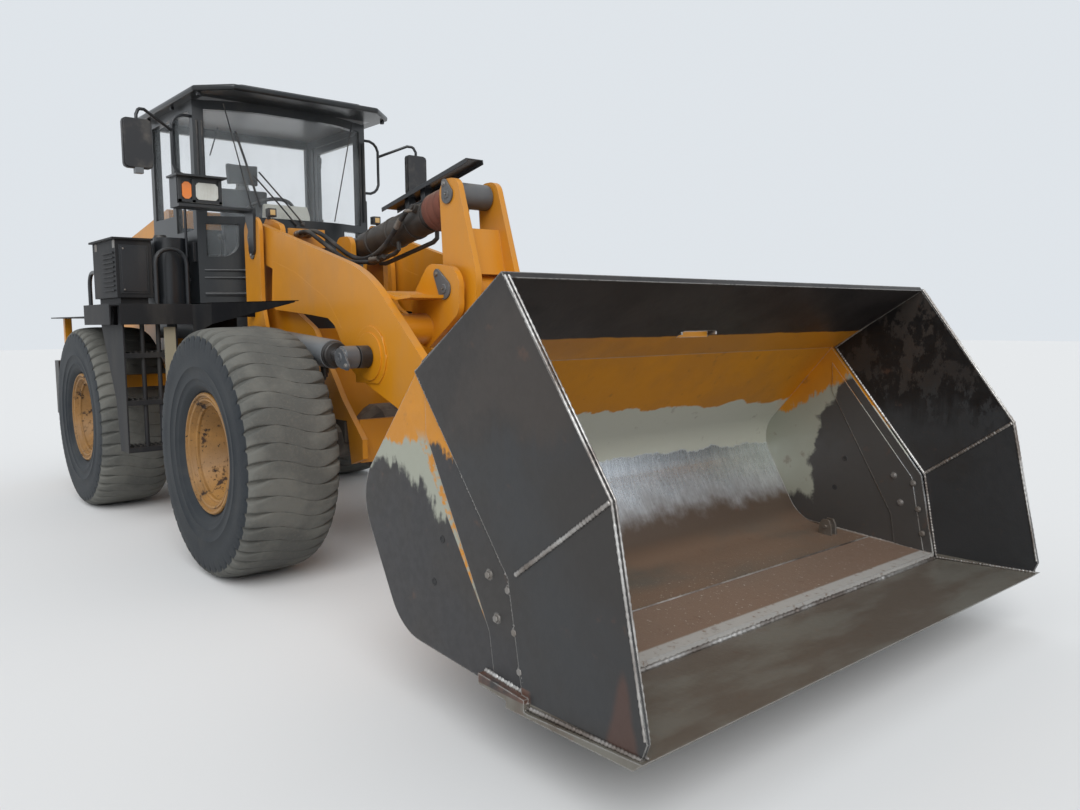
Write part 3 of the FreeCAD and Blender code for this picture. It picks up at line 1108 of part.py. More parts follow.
weight = weldment(
    "counterweight",
    centre=(
        ("XY", "weight_low", "weight_top - weight_low",
         (("weight_front_x", "-weight_half"), ("weight_front_x", "weight_half"),
          ("weight_rear_x + weight_corner", "weight_half", 60),
          ("weight_rear_x", "weight_half - weight_corner", 120),
          ("weight_rear_x", "-weight_half + weight_corner", 120),
          ("weight_rear_x + weight_corner", "-weight_half", 60))),
    ),
    cuts=(
        ("XY", "weight_low", "weight_top - weight_low",
         rectangle("frame_tail_x - 0.3", "-frame_half - 0.3", "weight_front_x + 10", "frame_half + 0.3")),
        ("XY", "weight_low + 190", "tow_slot",
         rectangle("weight_rear_x - 10", "-170", "weight_rear_x + tow_depth", "170")),
        ("XY", "weight_low + 90", "weight_top - weight_low - 90",
         circle("weight_rear_x + 75", "0", "tow_pin_radius")),
    ),
)
node("counterweight", weight)

# Platforms, boxes, tanks, ladders and rails
deck = weldment("platforms", side=(
    ("XY", "deck_top - deck_sheet", "deck_sheet",
     (("deck_rear_x", "cab_half + 3"), ("deck_front_x", "cab_half + 3"), ("deck_front_x", "deck_out - 60"),
      ("deck_front_x - 60", "deck_out"), ("deck_rear_x", "deck_out"))),
    ("YZ", "deck_front_x - beam_depth", "beam_depth",
     rectangle("cab_half + 3", "deck_low", "deck_out - 60", "deck_top - deck_sheet")),
    ("XZ", "deck_out - deck_sheet", "deck_sheet",
     rectangle("deck_rear_x", "deck_low", "deck_front_x - 60", "deck_top - deck_sheet")),
    ("YZ", "deck_rear_x", "deck_sheet",
     rectangle("cab_half + 3", "deck_low", "deck_out - deck_sheet", "deck_top - deck_sheet")),
    ("XY", "fender_z", "fender_sheet",
     (("fender_rear_x", "hood_half + 40"), ("cab_rear_x - 5", "hood_half + 40"),
      ("cab_rear_x - 5", "cab_half + 3"),
      ("deck_rear_x", "cab_half + 3"), ("deck_rear_x", "fender_out"), ("fender_rear_x", "fender_out"))),
    ("YZ", "outrigger_x - 30", "60", rectangle("fender_out - 160", "deck_low", "fender_out - 100",
                                               "deck_top - deck_sheet")),
))
node("platforms", deck)
side_box = weldment("side_box", centre=(
    ("XY", "deck_top + 50", "box_top - deck_top - 50", rectangle("box_rear_x", "-box_out", "box_front_x",
                                                                 "-box_in")),
    ("XY", "box_top - 15", "15", rectangle("box_rear_x - 20", "-box_out - 25", "box_front_x + 20",
                                           "10 - box_in")),
    ("XY", "deck_top", "50", rectangle("box_rear_x + 30", "30 - box_out", "box_front_x - 30",
                                       "-box_in - 30")),
    *[("XZ", "-box_out - louvre_out", "louvre_out",
       rectangle("box_front_x - 340", "louvre_low + %d * louvre_pitch" % number,
                 "box_front_x - 40", "louvre_low + %d * louvre_pitch + louvre_out" % number))
      for number in range(int(size("louvre_rows")))],
))
node("side_box", side_box)
tank = weldment("tank", centre=(
    ("XY", "deck_top", "tank_top - deck_top",
     (("tank_rear_x", "-tank_out"), ("tank_front_x", "-tank_out", "tank_round"),
      ("tank_front_x", "-tank_in", 60),
      ("tank_rear_x", "-tank_in"))),))
node("tank", tank)
steps = int(size("(deck_low - ladder_low) / step_pitch")) + 1
ladder = weldment(
    "ladder_plates",
    side=[("XZ", "ladder_out - stringer", "stringer",
           (("ladder_front_x", "ladder_low"), ("ladder_front_x", "deck_low"),
            ("deck_rear_x + 150", "deck_low"),
            ("ladder_rear_x - 60", "ladder_low + 400"), ("ladder_rear_x", "ladder_low"))),
          ("XZ", "ladder_in", "stringer",
           (("ladder_front_x", "ladder_low"), ("ladder_front_x", "deck_low"), ("ladder_rear_x", "deck_low"),
            ("ladder_rear_x", "ladder_low")))]
    + [("XZ", "ladder_in + stringer", "ladder_out - ladder_in - 2 * stringer",
        rectangle("ladder_rear_x", "ladder_low + %d * step_pitch" % number, "ladder_front_x",
                  "ladder_low + %d * step_pitch + step_thick" % number)) for number in range(steps)])
tubes = [bar("ladder_tube_%d_%d" % (sign, number), "z",
             ("ladder_front_x - 30", "%d * %s" % (sign, across), "ladder_low + step_thick / 2"),
             "deck_top - deck_sheet - ladder_low - step_thick / 2", "rail_radius")
         for sign in (1, -1) for number, across in enumerate(("tube_in", "tube_out"))]
node("ladders", fuse("ladders", ladder, *tubes))
rails = [pipe("loop_rail_%s" % word, "rail_radius", "rail_bend", (
    ("deck_front_x - 40", "%d * 1080" % sign, "deck_top"),
    ("deck_front_x - 40", "%d * 1080" % sign, "rail_top"),
    ("deck_front_x - 40", "%d * 840" % sign, "rail_top"),
    ("deck_front_x - 40", "%d * 840" % sign, "deck_top")))
    for word, sign in (("left", 1), ("right", -1))]
rails.append(pipe("rear_rail", "rail_radius", "rail_bend", (
    ("rear_rail_x", "90 - fender_out", "fender_z + fender_sheet"),
    ("rear_rail_x", "90 - fender_out", "rear_rail_z"),
    ("box_rear_x - pin_fit", "90 - fender_out", "rear_rail_z"))))
node("handrails", group("handrails", *rails))

# Front fenders, headlamps, mirrors, rear lamps
guard_in = "lift_y + lift_barrel_radius + 11"
guards = weldment("front_fenders", side=(
    ("XY", "guard_z", "guard_sheet",
     (("guard_rear_x", guard_in), ("guard_front_x", guard_in), ("guard_front_x - guard_point", "guard_out"),
      ("guard_rear_x", "guard_out"))),
    ("YZ", "guard_rear_x", "guard_sheet",
     ((guard_in, "guard_low + 40"), ("guard_out", "guard_low"), ("guard_out", "guard_z"),
      (guard_in, "guard_z"))),
    ("XY", "guard_z - 80", "50", rectangle("guard_arm_x", "%s + tower_plate" % tower_out,
                                           "guard_arm_x + 60", "%s + 60" % guard_in)),
    ("XY", "guard_z - 80", "50", rectangle("guard_arm_x", guard_in, "guard_rear_x", "%s + 60" % guard_in)),
))
node("front_fenders", guards)
lamp_arm = (("root_x - 20", "root_z - 130", 40), ("root_x + 70", "root_z - 130", 40),
            ("root_x + 80", "root_z + 60", 60),
            ("root_x + 90", "lamp_low - 30"), ("root_x + 90", "lamp_low"), ("root_x - 60", "lamp_low"),
            ("root_x - 60", "root_z + 130", 60), ("root_x - 20", "root_z + 60", 40))
lamps = weldment("headlamps", side=(
    ("XZ", "%s + tower_plate" % tower_out, "bracket_sheet", lamp_arm),
    ("XY", "lamp_low - 20", "20", rectangle("lamp_x - lamp_deep", "%s + tower_plate" % tower_out,
                                            "lamp_x + 30", "lamp_out")),
    ("XY", "lamp_low", "lamp_top - lamp_low", rectangle("lamp_x - lamp_deep", "lamp_in", "lamp_x",
                                                        "lamp_out")),
    ("XY", "lamp_top", "14", rectangle("lamp_x - lamp_deep", "lamp_in - 20", "lamp_x + 60", "lamp_out + 20")),
    ("YZ", "lamp_x", "8", rectangle("lamp_in + 25", "lamp_low + 30", "lens_edge", "lamp_top - 30")),
    ("YZ", "lamp_x", "8", rectangle("lens_edge + 15", "lamp_low + 30", "lamp_out - 25", "lamp_top - 30")),
))
node("headlamps", lamps)
mirror_parts = []
for word, sign in (("left", 1), ("right", -1)):
    tube_x, wall, outer = "cab_front_x - 30", "%d * (cab_half + pin_fit)" % sign, "%d * loop_out" % sign
    head_y = "%d * (mirror_in + mirror_out) / 2" % sign
    head = box("mirror_head_" + word, ("mirror_x - mirror_deep", "mirror_x"),
               ("mirror_in", "mirror_out") if sign > 0 else ("-mirror_out", "-mirror_in"),
               ("mirror_low", "mirror_top"))
    loop = pipe("mirror_loop_" + word, "mirror_tube", "60", (
        (tube_x, wall, "loop_high"), (tube_x, outer, "loop_high"), (tube_x, outer, "loop_low"),
        (tube_x, wall, "loop_low")))
    arm = pipe("mirror_arm_" + word, "mirror_tube", "60", (
        (tube_x, outer, "loop_high - 130"), ("mirror_x - 30", head_y, "mirror_arm_z"),
        ("mirror_x - 30", head_y, "mirror_top - 20")))
    mirror_parts.append(fuse("mirror_" + word, head, loop, arm))
node("mirrors", group("mirrors", *mirror_parts))
rear_lamps = weldment("rear_lamps", side=(
    ("YZ", "weight_rear_x + 60", "80", rectangle("hood_half + 120", "weight_top + 0.3", "hood_half + 320",
                                                 "weight_top + 130")),))
node("rear_lamps", rear_lamps)

doc.recompute()
wrong = [item.Label for item in doc.Objects if "Invalid" in item.State or "Error" in item.State]
wrong += [name for name, item in NODES.items()
          if item.Shape.isNull() or not item.Shape.isValid() or not item.Shape.Solids]
if wrong:
    raise ValueError("not valid: " + ", ".join(wrong))
for name, item in NODES.items():
    item.Shape.exportStep("parts/%s.step" % name)
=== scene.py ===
"""Looks of the articulated wheel loader: paint, rubber, worn steel, welds, hoses, lamps and trim.

Metres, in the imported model's frame: X forward, Y to the left, Z up, the ground at z = 0.
"""
import bmesh
import bpy
import math
from mathutils import Matrix, Vector, noise


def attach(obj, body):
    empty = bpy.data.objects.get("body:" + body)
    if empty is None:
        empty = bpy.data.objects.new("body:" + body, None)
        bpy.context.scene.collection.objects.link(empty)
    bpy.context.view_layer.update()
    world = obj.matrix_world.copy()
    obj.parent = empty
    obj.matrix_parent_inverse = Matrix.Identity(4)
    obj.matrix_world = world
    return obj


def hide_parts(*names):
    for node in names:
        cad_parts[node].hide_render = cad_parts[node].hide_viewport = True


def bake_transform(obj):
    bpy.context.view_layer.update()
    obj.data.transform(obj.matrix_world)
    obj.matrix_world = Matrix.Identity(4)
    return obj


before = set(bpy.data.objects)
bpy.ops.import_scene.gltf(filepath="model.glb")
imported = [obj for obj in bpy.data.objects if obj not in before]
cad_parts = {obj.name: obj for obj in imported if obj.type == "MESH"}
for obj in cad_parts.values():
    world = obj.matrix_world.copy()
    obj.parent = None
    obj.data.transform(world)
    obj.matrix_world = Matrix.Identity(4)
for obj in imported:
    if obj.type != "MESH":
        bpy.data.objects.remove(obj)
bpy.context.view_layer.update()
FULL_TURN = 2 * math.pi
SIDES = (("left", 1), ("right", -1))

# Camera: place, turn about Z, tilt down and roll in radians, focal length in pixels of a 1080 pixel wide frame
CAMERA_PLACE, YAW, PITCH, ROLL, FOCAL = (6.044218, -3.322973, 1.601791), 0.707118, 0.0951194, -0.0085376, 881.03
forward = Vector((-math.cos(YAW) * math.cos(PITCH), math.sin(YAW) * math.cos(PITCH), -math.sin(PITCH)))
level = forward.cross(Vector((0, 0, 1))).normalized()
upward = level.cross(forward)
across = math.cos(ROLL) * level + math.sin(ROLL) * upward
upward = math.cos(ROLL) * upward - math.sin(ROLL) * level
camera = bpy.data.objects.new("camera", bpy.data.cameras.new("camera"))
camera.data.sensor_width = 36
camera.data.lens = FOCAL / 1080 * 36
camera.data.clip_end = 500
camera.matrix_world = Matrix.Translation(CAMERA_PLACE) @ Matrix((across, upward,
                                                                 -forward)).transposed().to_4x4()
bpy.context.scene.collection.objects.link(camera)
bpy.context.scene.camera = camera
bpy.context.scene.view_settings.view_transform = "Standard"


# Materials
class Value:
    """A number or colour that a material works out at each point of a surface."""

    def __init__(self, look, socket):
        self.look, self.socket = look, socket

    def __add__(self, other):
        return self.look.maths("ADD", self, other)

    def __sub__(self, other):
        return self.look.maths("SUBTRACT", self, other)

    def __mul__(self, other):
        return self.look.maths("MULTIPLY", self, other)

    def __abs__(self):
        return self.look.maths("ABSOLUTE", self)

    def most(self, other):
        return self.look.maths("MAXIMUM", self, other)

    def span(self, low, high):
        """Runs smoothly from 0 at low to 1 at high."""
        inputs = {"Value": self, "From Min": low, "From Max": high}
        return self.look.node("ShaderNodeMapRange", inputs, "Result", interpolation_type="SMOOTHSTEP")


class Look:
    """A procedural material and short ways to make its nodes."""

    def __init__(self, name):
        self.material = bpy.data.materials.new(name)
        self.material.use_nodes = True
        self.tree = self.material.node_tree
        self.shader = self.tree.nodes["Principled BSDF"]
        self.place = self.node("ShaderNodeTexCoord", {}, "Object")
        self.normal = self.node("ShaderNodeNewGeometry", {}, "Normal")
        self.x, self.y, self.z = self.parts(self.place)
        self.normal_x, self.normal_y, self.normal_z = self.parts(self.normal)

    def feed(self, socket, value):
        """Links a value or sets a plain one."""
        if isinstance(value, Value):
            self.tree.links.new(value.socket, socket)
        elif socket.type == "RGBA" and len(value) == 3:
            socket.default_value = (*value, 1)
        else:
            socket.default_value = value

    def node(self, kind, inputs, output=0, **settings):
        """One output of a new node with these settings and inputs."""
        item = self.tree.nodes.new(kind)
        for name, value in settings.items():
            setattr(item, name, value)
        for name, value in inputs.items():
            self.feed(item.inputs[name], value)
        return Value(self, item.outputs[output])

    def parts(self, vector):
        """The three numbers of a vector."""
        item = self.tree.nodes.new("ShaderNodeSeparateXYZ")
        self.feed(item.inputs[0], vector)
        return [Value(self, socket) for socket in item.outputs]

    def set(self, **sockets):
        """Sets or links the shader's sockets."""
        for name, value in sockets.items():
            self.feed(self.shader.inputs[name.replace("_", " ").title().replace("Ior", "IOR")], value)
        return self

    def maths(self, operation, first, last=0.0):
        return self.node("ShaderNodeMath", {0: first, 1: last}, operation=operation)

    def noise(self, scale, low=0.4, high=0.6, stretch=(1, 1, 1), detail=5, rough=0.6):
        """Noise spread from 0 to 1."""
        place = self.node("ShaderNodeVectorMath", {0: self.place, 1: stretch}, operation="MULTIPLY")
        inputs = {"Vector": place, "Scale": scale, "Detail": detail, "Roughness": rough}
        return self.node("ShaderNodeTexNoise", inputs).span(low, high)

    def mix(self, factor, first, last):
        """A blend of two colours."""
        return self.node("ShaderNodeMix", {0: factor, 6: first, 7: last}, 2, data_type="RGBA")

    def blend(self, factor, first, last):
        """A blend of two numbers."""
        return self.node("ShaderNodeMix", {0: factor, 2: first, 3: last})

    def soft(self, radius):
        """The normal with sharp edges rounded."""
        return self.node("ShaderNodeBevel", {"Radius": radius}, samples=4)

    def edges(self, radius, low=0.01, high=0.12):
        """1 along sharp edges."""
        inputs = {0: self.soft(radius), 1: self.normal}
        same = self.node("ShaderNodeVectorMath", inputs, "Value", operation="DOT_PRODUCT")
        return same.span(1 - low, 1 - high)

    def bump(self, height, distance, strength=0.5, under=None):
        """The normal with a relief."""
        inputs = {"Height": height, "Distance": distance, "Strength": strength}
        if under is not None:
            inputs["Normal"] = under
        return self.node("ShaderNodeBump", inputs, "Normal")


DUST, BARE = (0.27, 0.235, 0.19), (0.42, 0.41, 0.39)
PAINT, PAINT_SHADE, PRIMER = (0.60, 0.240, 0.009), (0.53, 0.215, 0.016), (0.33, 0.34, 0.28)


def painted(name, colour, second, rough=0.4, dust=0.3, chips=0.5, chip=(0.10, 0.085, 0.075)):
    """Paint with two close tones, dust that lies on top faces and runs down sides, and chipped edges."""
    look = Look(name)
    base = look.mix(look.noise(0.9), colour, second)
    dirt = look.noise(2.5, 0.42, 0.75, (1.6, 1.6, 0.5)) * dust
    lying = look.normal_z.span(0.4, 0.95) * look.noise(6, 0.3, 0.62)
    dirt = dirt.most(lying * min(1, dust * 1.9))
    base = look.mix(dirt, base, DUST)
    worn = look.edges(0.005) * look.noise(38, 0.5, 0.6)
    look.tone = look.mix(worn * chips, base, chip)
    relief = look.bump(look.noise(160, 0.3, 0.7, detail=2), 0.0005, 0.25, look.soft(0.004))
    return look.set(base_color=look.tone, roughness=look.blend(dirt, rough, 0.8), normal=relief)


def metal(name, colour, second, rough, metallic=1.0, scratch=(1, 1, 1), relief=0.0004):
    """Bare metal with two tones and fine scratches along one way."""
    look = Look(name)
    base = look.mix(look.noise(3, 0.35, 0.65, scratch), colour, second)
    fine = look.noise(70, 0.3, 0.7, scratch, 3)
    return look.set(base_color=base, metallic=metallic, roughness=look.blend(fine, rough, rough + 0.15),
                    normal=look.bump(fine, relief, 0.3, look.soft(0.003)))


def plastic(name, colour, rough=0.5, grain=0.0004, **sockets):
    """Moulded plastic or rubber with a fine grain and a little dust."""
    look = Look(name)
    base = look.mix(look.noise(5, 0.45, 0.7) * 0.25, colour, DUST)
    relief = look.bump(look.noise(260, 0.3, 0.7, detail=2), grain, 0.4, look.soft(0.003))
    return look.set(base_color=base, roughness=rough, normal=relief, **sockets)


yellow = painted("yellow_paint", PAINT, PAINT_SHADE, 0.36, 0.16, 0.5)
black = painted("black_paint", (0.013, 0.015, 0.018), (0.018, 0.020, 0.023), 0.28, 0.06, 0.3,
                (0.09, 0.085, 0.08))
dusty_black = painted("dusty_black_paint", (0.014, 0.0145, 0.016), (0.024, 0.023, 0.022), 0.42, 0.16, 0.4)
box_black = painted("box_black_paint", (0.011, 0.0115, 0.013), (0.016, 0.016, 0.018), 0.6, 0.08, 0.4)
box_black.set(specular_ior_level=0.3)
# Painted shade: the fenders' black is set far darker than black paint, with little specular, so the sheets look as
# shadowed as their skirts.
fender_black_painted_shade = painted("fender_paint_painted_shade", (0.004, 0.004, 0.005), (0.008, 0.008, 0.009), 0.75, 0.05, 0.3)
fender_black_painted_shade.set(specular_ior_level=0.1)
cylinder_grey = painted("cylinder_grey_paint", (0.15, 0.16, 0.17), (0.12, 0.125, 0.13), 0.40, 0.2, 0.4)
barrel_dark = painted("barrel_dark_paint", (0.022, 0.020, 0.019), (0.034, 0.030, 0.027), 0.42, 0.2, 0.5)
oxide = painted("red_oxide", (0.20, 0.062, 0.038), (0.12, 0.045, 0.03), 0.85, 0.25, 0.3)
cast = painted("cast_housing", (0.030, 0.029, 0.028), (0.055, 0.042, 0.032), 0.7, 0.4, 0.5)
plate_grey = painted("plate_grey", (0.075, 0.082, 0.092), (0.10, 0.10, 0.10), 0.42, 0.2, 0.8, BARE)
tan = painted("tan_panel", (0.30, 0.27, 0.19), (0.24, 0.21, 0.15), 0.6, 0.4)
chrome = metal("hard_chrome", (0.72, 0.72, 0.73), (0.62, 0.62, 0.63), 0.12, scratch=(1, 6, 6), relief=0.0001)
bolt_steel = metal("bolt_steel", (0.30, 0.29, 0.28), (0.20, 0.17, 0.14), 0.45, 0.8)
bead = metal("weld_bead", (0.60, 0.59, 0.57), (0.20, 0.17, 0.15), 0.36, 0.9, relief=0.001)
silver = metal("mirror_face", (0.72, 0.74, 0.76), (0.68, 0.7, 0.72), 0.05, relief=0.00005)
rubber = plastic("hose_rubber", (0.018, 0.018, 0.019), 0.6, 0.001)
trim = plastic("black_plastic", (0.022, 0.022, 0.024), 0.45)
orange = plastic("orange_lens", (0.75, 0.20, 0.02), 0.2, 0.0003, coat_weight=0.6)
amber = plastic("amber_lens", (0.55, 0.36, 0.13), 0.2, 0.0003, coat_weight=0.6)
red = plastic("red_lens", (0.5, 0.02, 0.015), 0.2, 0.0003, coat_weight=0.6)
lens = plastic("clear_lens", (0.55, 0.56, 0.52), 0.18, 0.0006, coat_weight=0.8)
dial = plastic("pale_dash", (0.50, 0.50, 0.44), 0.55)
gravel = plastic("caked_dirt", (0.16, 0.13, 0.10), 0.95, 0.004)

glass = Look("dusty_glass")
haze = glass.blend(glass.noise(1.5, 0.35, 0.7, (1, 1, 0.5)), 0.05, 0.10)
glass.set(base_color=(0.62, 0.68, 0.71), alpha=haze, specular_ior_level=1.0, ior=1.5, coat_weight=1.0,
          coat_roughness=0.02, roughness=0.15)
glass.material.surface_render_method = "BLENDED"

tread = Look("worn_tread")
tone = tread.mix(tread.noise(2.2), (0.150, 0.150, 0.136), (0.100, 0.101, 0.094))
tone = tread.mix(tread.noise(60, 0.5, 0.7) * 0.35, tone, (0.16, 0.15, 0.13))
tread.set(base_color=tone, roughness=0.85, specular_ior_level=0.25,
          normal=tread.bump(tread.noise(90, 0.3, 0.7, detail=6, rough=0.75), 0.003, 0.6))

sidewall = Look("sidewall_rubber")
tone = sidewall.mix(sidewall.noise(1.6), (0.013, 0.017, 0.022), (0.024, 0.028, 0.032))
tone = sidewall.mix(sidewall.noise(5, 0.5, 0.8) * 0.3, tone, (0.07, 0.066, 0.058))
sidewall.set(base_color=tone, roughness=0.62, specular_ior_level=0.3,
             normal=sidewall.bump(sidewall.noise(120, 0.3, 0.7, detail=4), 0.001, 0.4))


def rim_paint(name, colour, low, high):
    """Old ochre paint that rust has broken through, more of it where low and high are small."""
    look = Look(name)
    base = look.mix(look.noise(2.5), colour, [part * 0.68 for part in colour])
    rust = look.noise(9, low, high, detail=9, rough=0.72).most(look.noise(55, 0.64, 0.70, detail=3))
    base = look.mix(rust, base, look.mix(look.noise(30), (0.022, 0.014, 0.010), (0.055, 0.027, 0.015)))
    relief = look.bump(rust + look.noise(120, 0.3, 0.7), 0.0015, 0.5, look.soft(0.004))
    return look.set(base_color=base, roughness=look.blend(rust, 0.5, 0.9), normal=relief)


ochre = rim_paint("ochre_paint", (0.33, 0.165, 0.04), 0.56, 0.62)
# The rim's deep well and hub: rusted dark ochre, darker than the rim's ochre partly as painted shade in the recess.
rusty_well_painted_shade = rim_paint("rusty_well_painted_shade", (0.15, 0.075, 0.024), 0.40, 0.48)

cloth = Look("seat_cloth")
weave = cloth.node("ShaderNodeTexWave", {"Vector": cloth.place, "Scale": 90.0, "Distortion": 0.6}, "Fac",
                   bands_direction="DIAGONAL")
cloth.set(base_color=cloth.mix(cloth.noise(9), (0.045, 0.047, 0.052), (0.065, 0.066, 0.070)), roughness=0.85,
          sheen_weight=0.3, normal=cloth.bump(weave + cloth.noise(300, 0.3, 0.7), 0.0006, 0.5))


def steel_finish(look, base, metallic, rough, bright):
    """Adds scratches, rust spots and bright worn edges to bucket steel."""
    spots = look.noise(11, 0.62, 0.74) * look.blend(metallic, 0.5, 0.0)
    base = look.mix(spots, base, (0.12, 0.062, 0.04))
    worn = look.edges(0.009, 0.02, 0.14) * look.noise(50, 0.3, 0.5)
    base = look.mix(worn * bright, base, BARE)
    fine = look.noise(45, 0.3, 0.7, (0.6, 9, 0.6), 4)
    return look.set(base_color=base, metallic=(worn * 0.8).most(metallic), roughness=fine * 0.12 + rough,
                    normal=look.bump(fine, 0.0007, 0.35, look.soft(0.003)))


def bucket_look():
    """The old bucket: yellow above, then primer, then bare steel, with its own edges on each face."""
    look = Look("worn_bucket")
    x, y, z = look.x, look.y, look.z
    wobble = (look.noise(6, 0, 1) - 0.5) * 0.16
    streak = (look.noise(26, 0, 1, (1, 1, 0.12)) - 0.5) * 0.10
    height = z + wobble + streak
    paint = look.mix(look.noise(3), PAINT, PAINT_SHADE)
    steel = look.mix(look.noise(1.3), (0.033, 0.032, 0.034), (0.034, 0.031, 0.029))

    # Inside: the brown floor, its paler front plate and weld, and the back from bright steel up to paint
    floor = look.mix(look.noise(1.3, 0.40, 0.62, (1, 0.5, 1)), (0.185, 0.122, 0.084), (0.115, 0.105, 0.088))
    floor = look.mix(x.span(3.43, 3.45) * 0.75, floor, (0.225, 0.155, 0.116))
    specks = look.noise(60, 0.67, 0.70, detail=2) * x.span(3.1, 3.4)
    floor = look.mix(specks, floor, (0.45, 0.42, 0.37))
    floor = look.mix(x.span(3.745, 3.76) * look.noise(30, 0.25, 0.45), floor, BARE)
    brush = look.noise(75, 0.3, 0.7, (0.3, 1, 0.03), 3)
    bare = look.mix(brush, (0.88, 0.92, 0.96), (0.68, 0.72, 0.76))
    lit = (z + wobble).span(0.48, 0.72)
    foot = look.mix(z.span(0.34, 0.44), floor, (0.092, 0.064, 0.046))
    back = look.mix(lit, foot, bare)
    top = z + wobble * 0.45 + y * 0.03
    back = look.mix(top.span(0.855, 0.87), back, (0.54, 0.55, 0.47))
    back = look.mix(top.span(1.135, 1.145), back, paint)

    # Inner faces of the two cheeks
    inner_edge = x + wobble + (z - 1.0).most(0.0) * -0.9
    cheek = look.mix(inner_edge.span(3.08, 3.05) * height.span(0.48, 0.54), (0.060, 0.056, 0.053), PRIMER)
    rise = height + (x - 2.73) * -0.55
    cheek = look.mix(rise.span(0.95, 0.98) * inner_edge.span(3.13, 3.10), cheek, paint)

    # Outer faces: line is the distance ahead of the old cutting edge
    line = (x - 3.164) * 0.869 + (z - 1.201) * 0.495
    behind = line.span(0.003, -0.003)
    fall = height + (x - 3.0).most(0.0) * 0.52
    outside = look.mix(fall.span(1.0, 1.04) * behind, steel, PRIMER)
    ahead = (height + (x - 3.16) * 0.4).span(1.14, 1.17)
    outside = look.mix(look.blend(behind, ahead, height.span(1.12, 1.15)), outside, paint)
    width = (z - 0.45) * 0.045
    stripe = (abs(line + width) - width).span(0.004, 0.0) * z.span(0.5, 0.56) * z.span(1.2, 1.1)
    outside = look.mix(stripe, outside, look.mix(look.noise(30), PRIMER, paint))

    # Each face by the way it looks and by its distance from the middle
    flat = abs(look.normal_y).span(0.5, 0.8)
    under = look.normal_z.span(-0.3, -0.5) * look.normal_x.span(0.4, 0.3)
    shell = look.normal_x.span(-0.06, -0.14).most(under)
    base = look.mix(flat, back, cheek)
    base = look.mix(shell, base, look.mix(height.span(0.50, 0.62), steel, paint))
    base = look.mix(flat * abs(y).span(1.41, 1.40), base, paint)
    strip = look.mix(height.span(1.16, 1.18), (0.070, 0.062, 0.056), PRIMER)
    strip = look.mix(height.span(1.24, 1.26), strip, paint)
    inward = (look.normal_y * y).span(-0.2, -0.6)
    base = look.mix(abs(y).span(1.441, 1.443), base, look.mix(inward, outside, strip))
    shine = lit * top.span(0.87, 0.855) * flat.span(1.0, 0.0) * shell.span(1.0, 0.0)
    return steel_finish(look, base, look.blend(shine, 0.15, 0.9), look.blend(shine, 0.40, 0.20), 0.9)


def extension_look():
    """The added plates: mill scale above, brushed steel below, an olive grey lip and rust runs."""
    look = Look("worn_plates")
    x, y, z = look.x, look.y, look.z
    wobble = (look.noise(4, 0, 1) - 0.5) * 0.22
    streak = (look.noise(22, 0, 1, (1, 1, 0.15)) - 0.5) * 0.2
    height = z + wobble + streak
    scale = look.mix(look.noise(2), (0.030, 0.026, 0.024), (0.046, 0.038, 0.033))
    side = look.mix(look.noise(1.1), (0.036, 0.037, 0.039), (0.034, 0.031, 0.029))
    side = look.mix(height.span(1.10, 1.30), side, scale)
    patches = look.noise(7, 0.46, 0.5, (1, 1, 0.6), 8, 0.75) * height.span(0.95, 1.2)
    inner_left = y.span(1.44, 1.456) * y.span(1.462, 1.458)
    side = look.mix(patches * inner_left, side, (0.010, 0.009, 0.009))
    spread = abs(x - 4.25) + (z - 0.36) * 0.25 + wobble * 0.15
    run = spread.span(0.064, 0.036) * z.span(0.57, 0.50) * (look.normal_y * y).span(0.2, 0.6)
    side = look.mix(run * 0.6, side, (0.10, 0.048, 0.034))
    blade = x.span(3.82, 3.80) * z.span(0.345, 0.338) * look.noise(12, 0.3, 0.6)
    side = look.mix(blade, side, (0.12, 0.065, 0.048))
    plate = look.mix(look.noise(5), (0.016, 0.014, 0.014), (0.028, 0.024, 0.023))
    old_edge = (x + wobble * 0.12).span(3.335, 3.325) * look.normal_x.span(0.1, 0.2)
    plate = look.mix(old_edge, plate, look.mix(look.noise(3), PAINT, PAINT_SHADE))
    lip = look.mix(look.noise(2.2, stretch=(2, 0.6, 1)), (0.165, 0.155, 0.132), (0.120, 0.098, 0.078))
    base = look.mix(abs(y).span(1.452, 1.4545), plate, side)
    base = look.mix(z.span(0.300, 0.297), base, lip)
    return steel_finish(look, base, 0.25, 0.34, 1.0)


def cab_look():
    """The cab's black paint, with a pale headliner under the roof."""
    look = painted("cab_paint", (0.008, 0.010, 0.012), (0.012, 0.014, 0.016), 0.28, 0.06, 0.22,
                   (0.09, 0.085, 0.08))
    lining = look.normal_z.span(-0.5, -0.8) * look.z.span(3.30, 3.31)
    lining = lining * abs(look.y).span(0.735, 0.730) * look.x.span(-0.98, -1.0)
    return look.set(base_color=look.mix(lining, look.tone, (0.26, 0.27, 0.28)))


bucket_steel, plate_steel, cab_black = bucket_look(), extension_look(), cab_look()

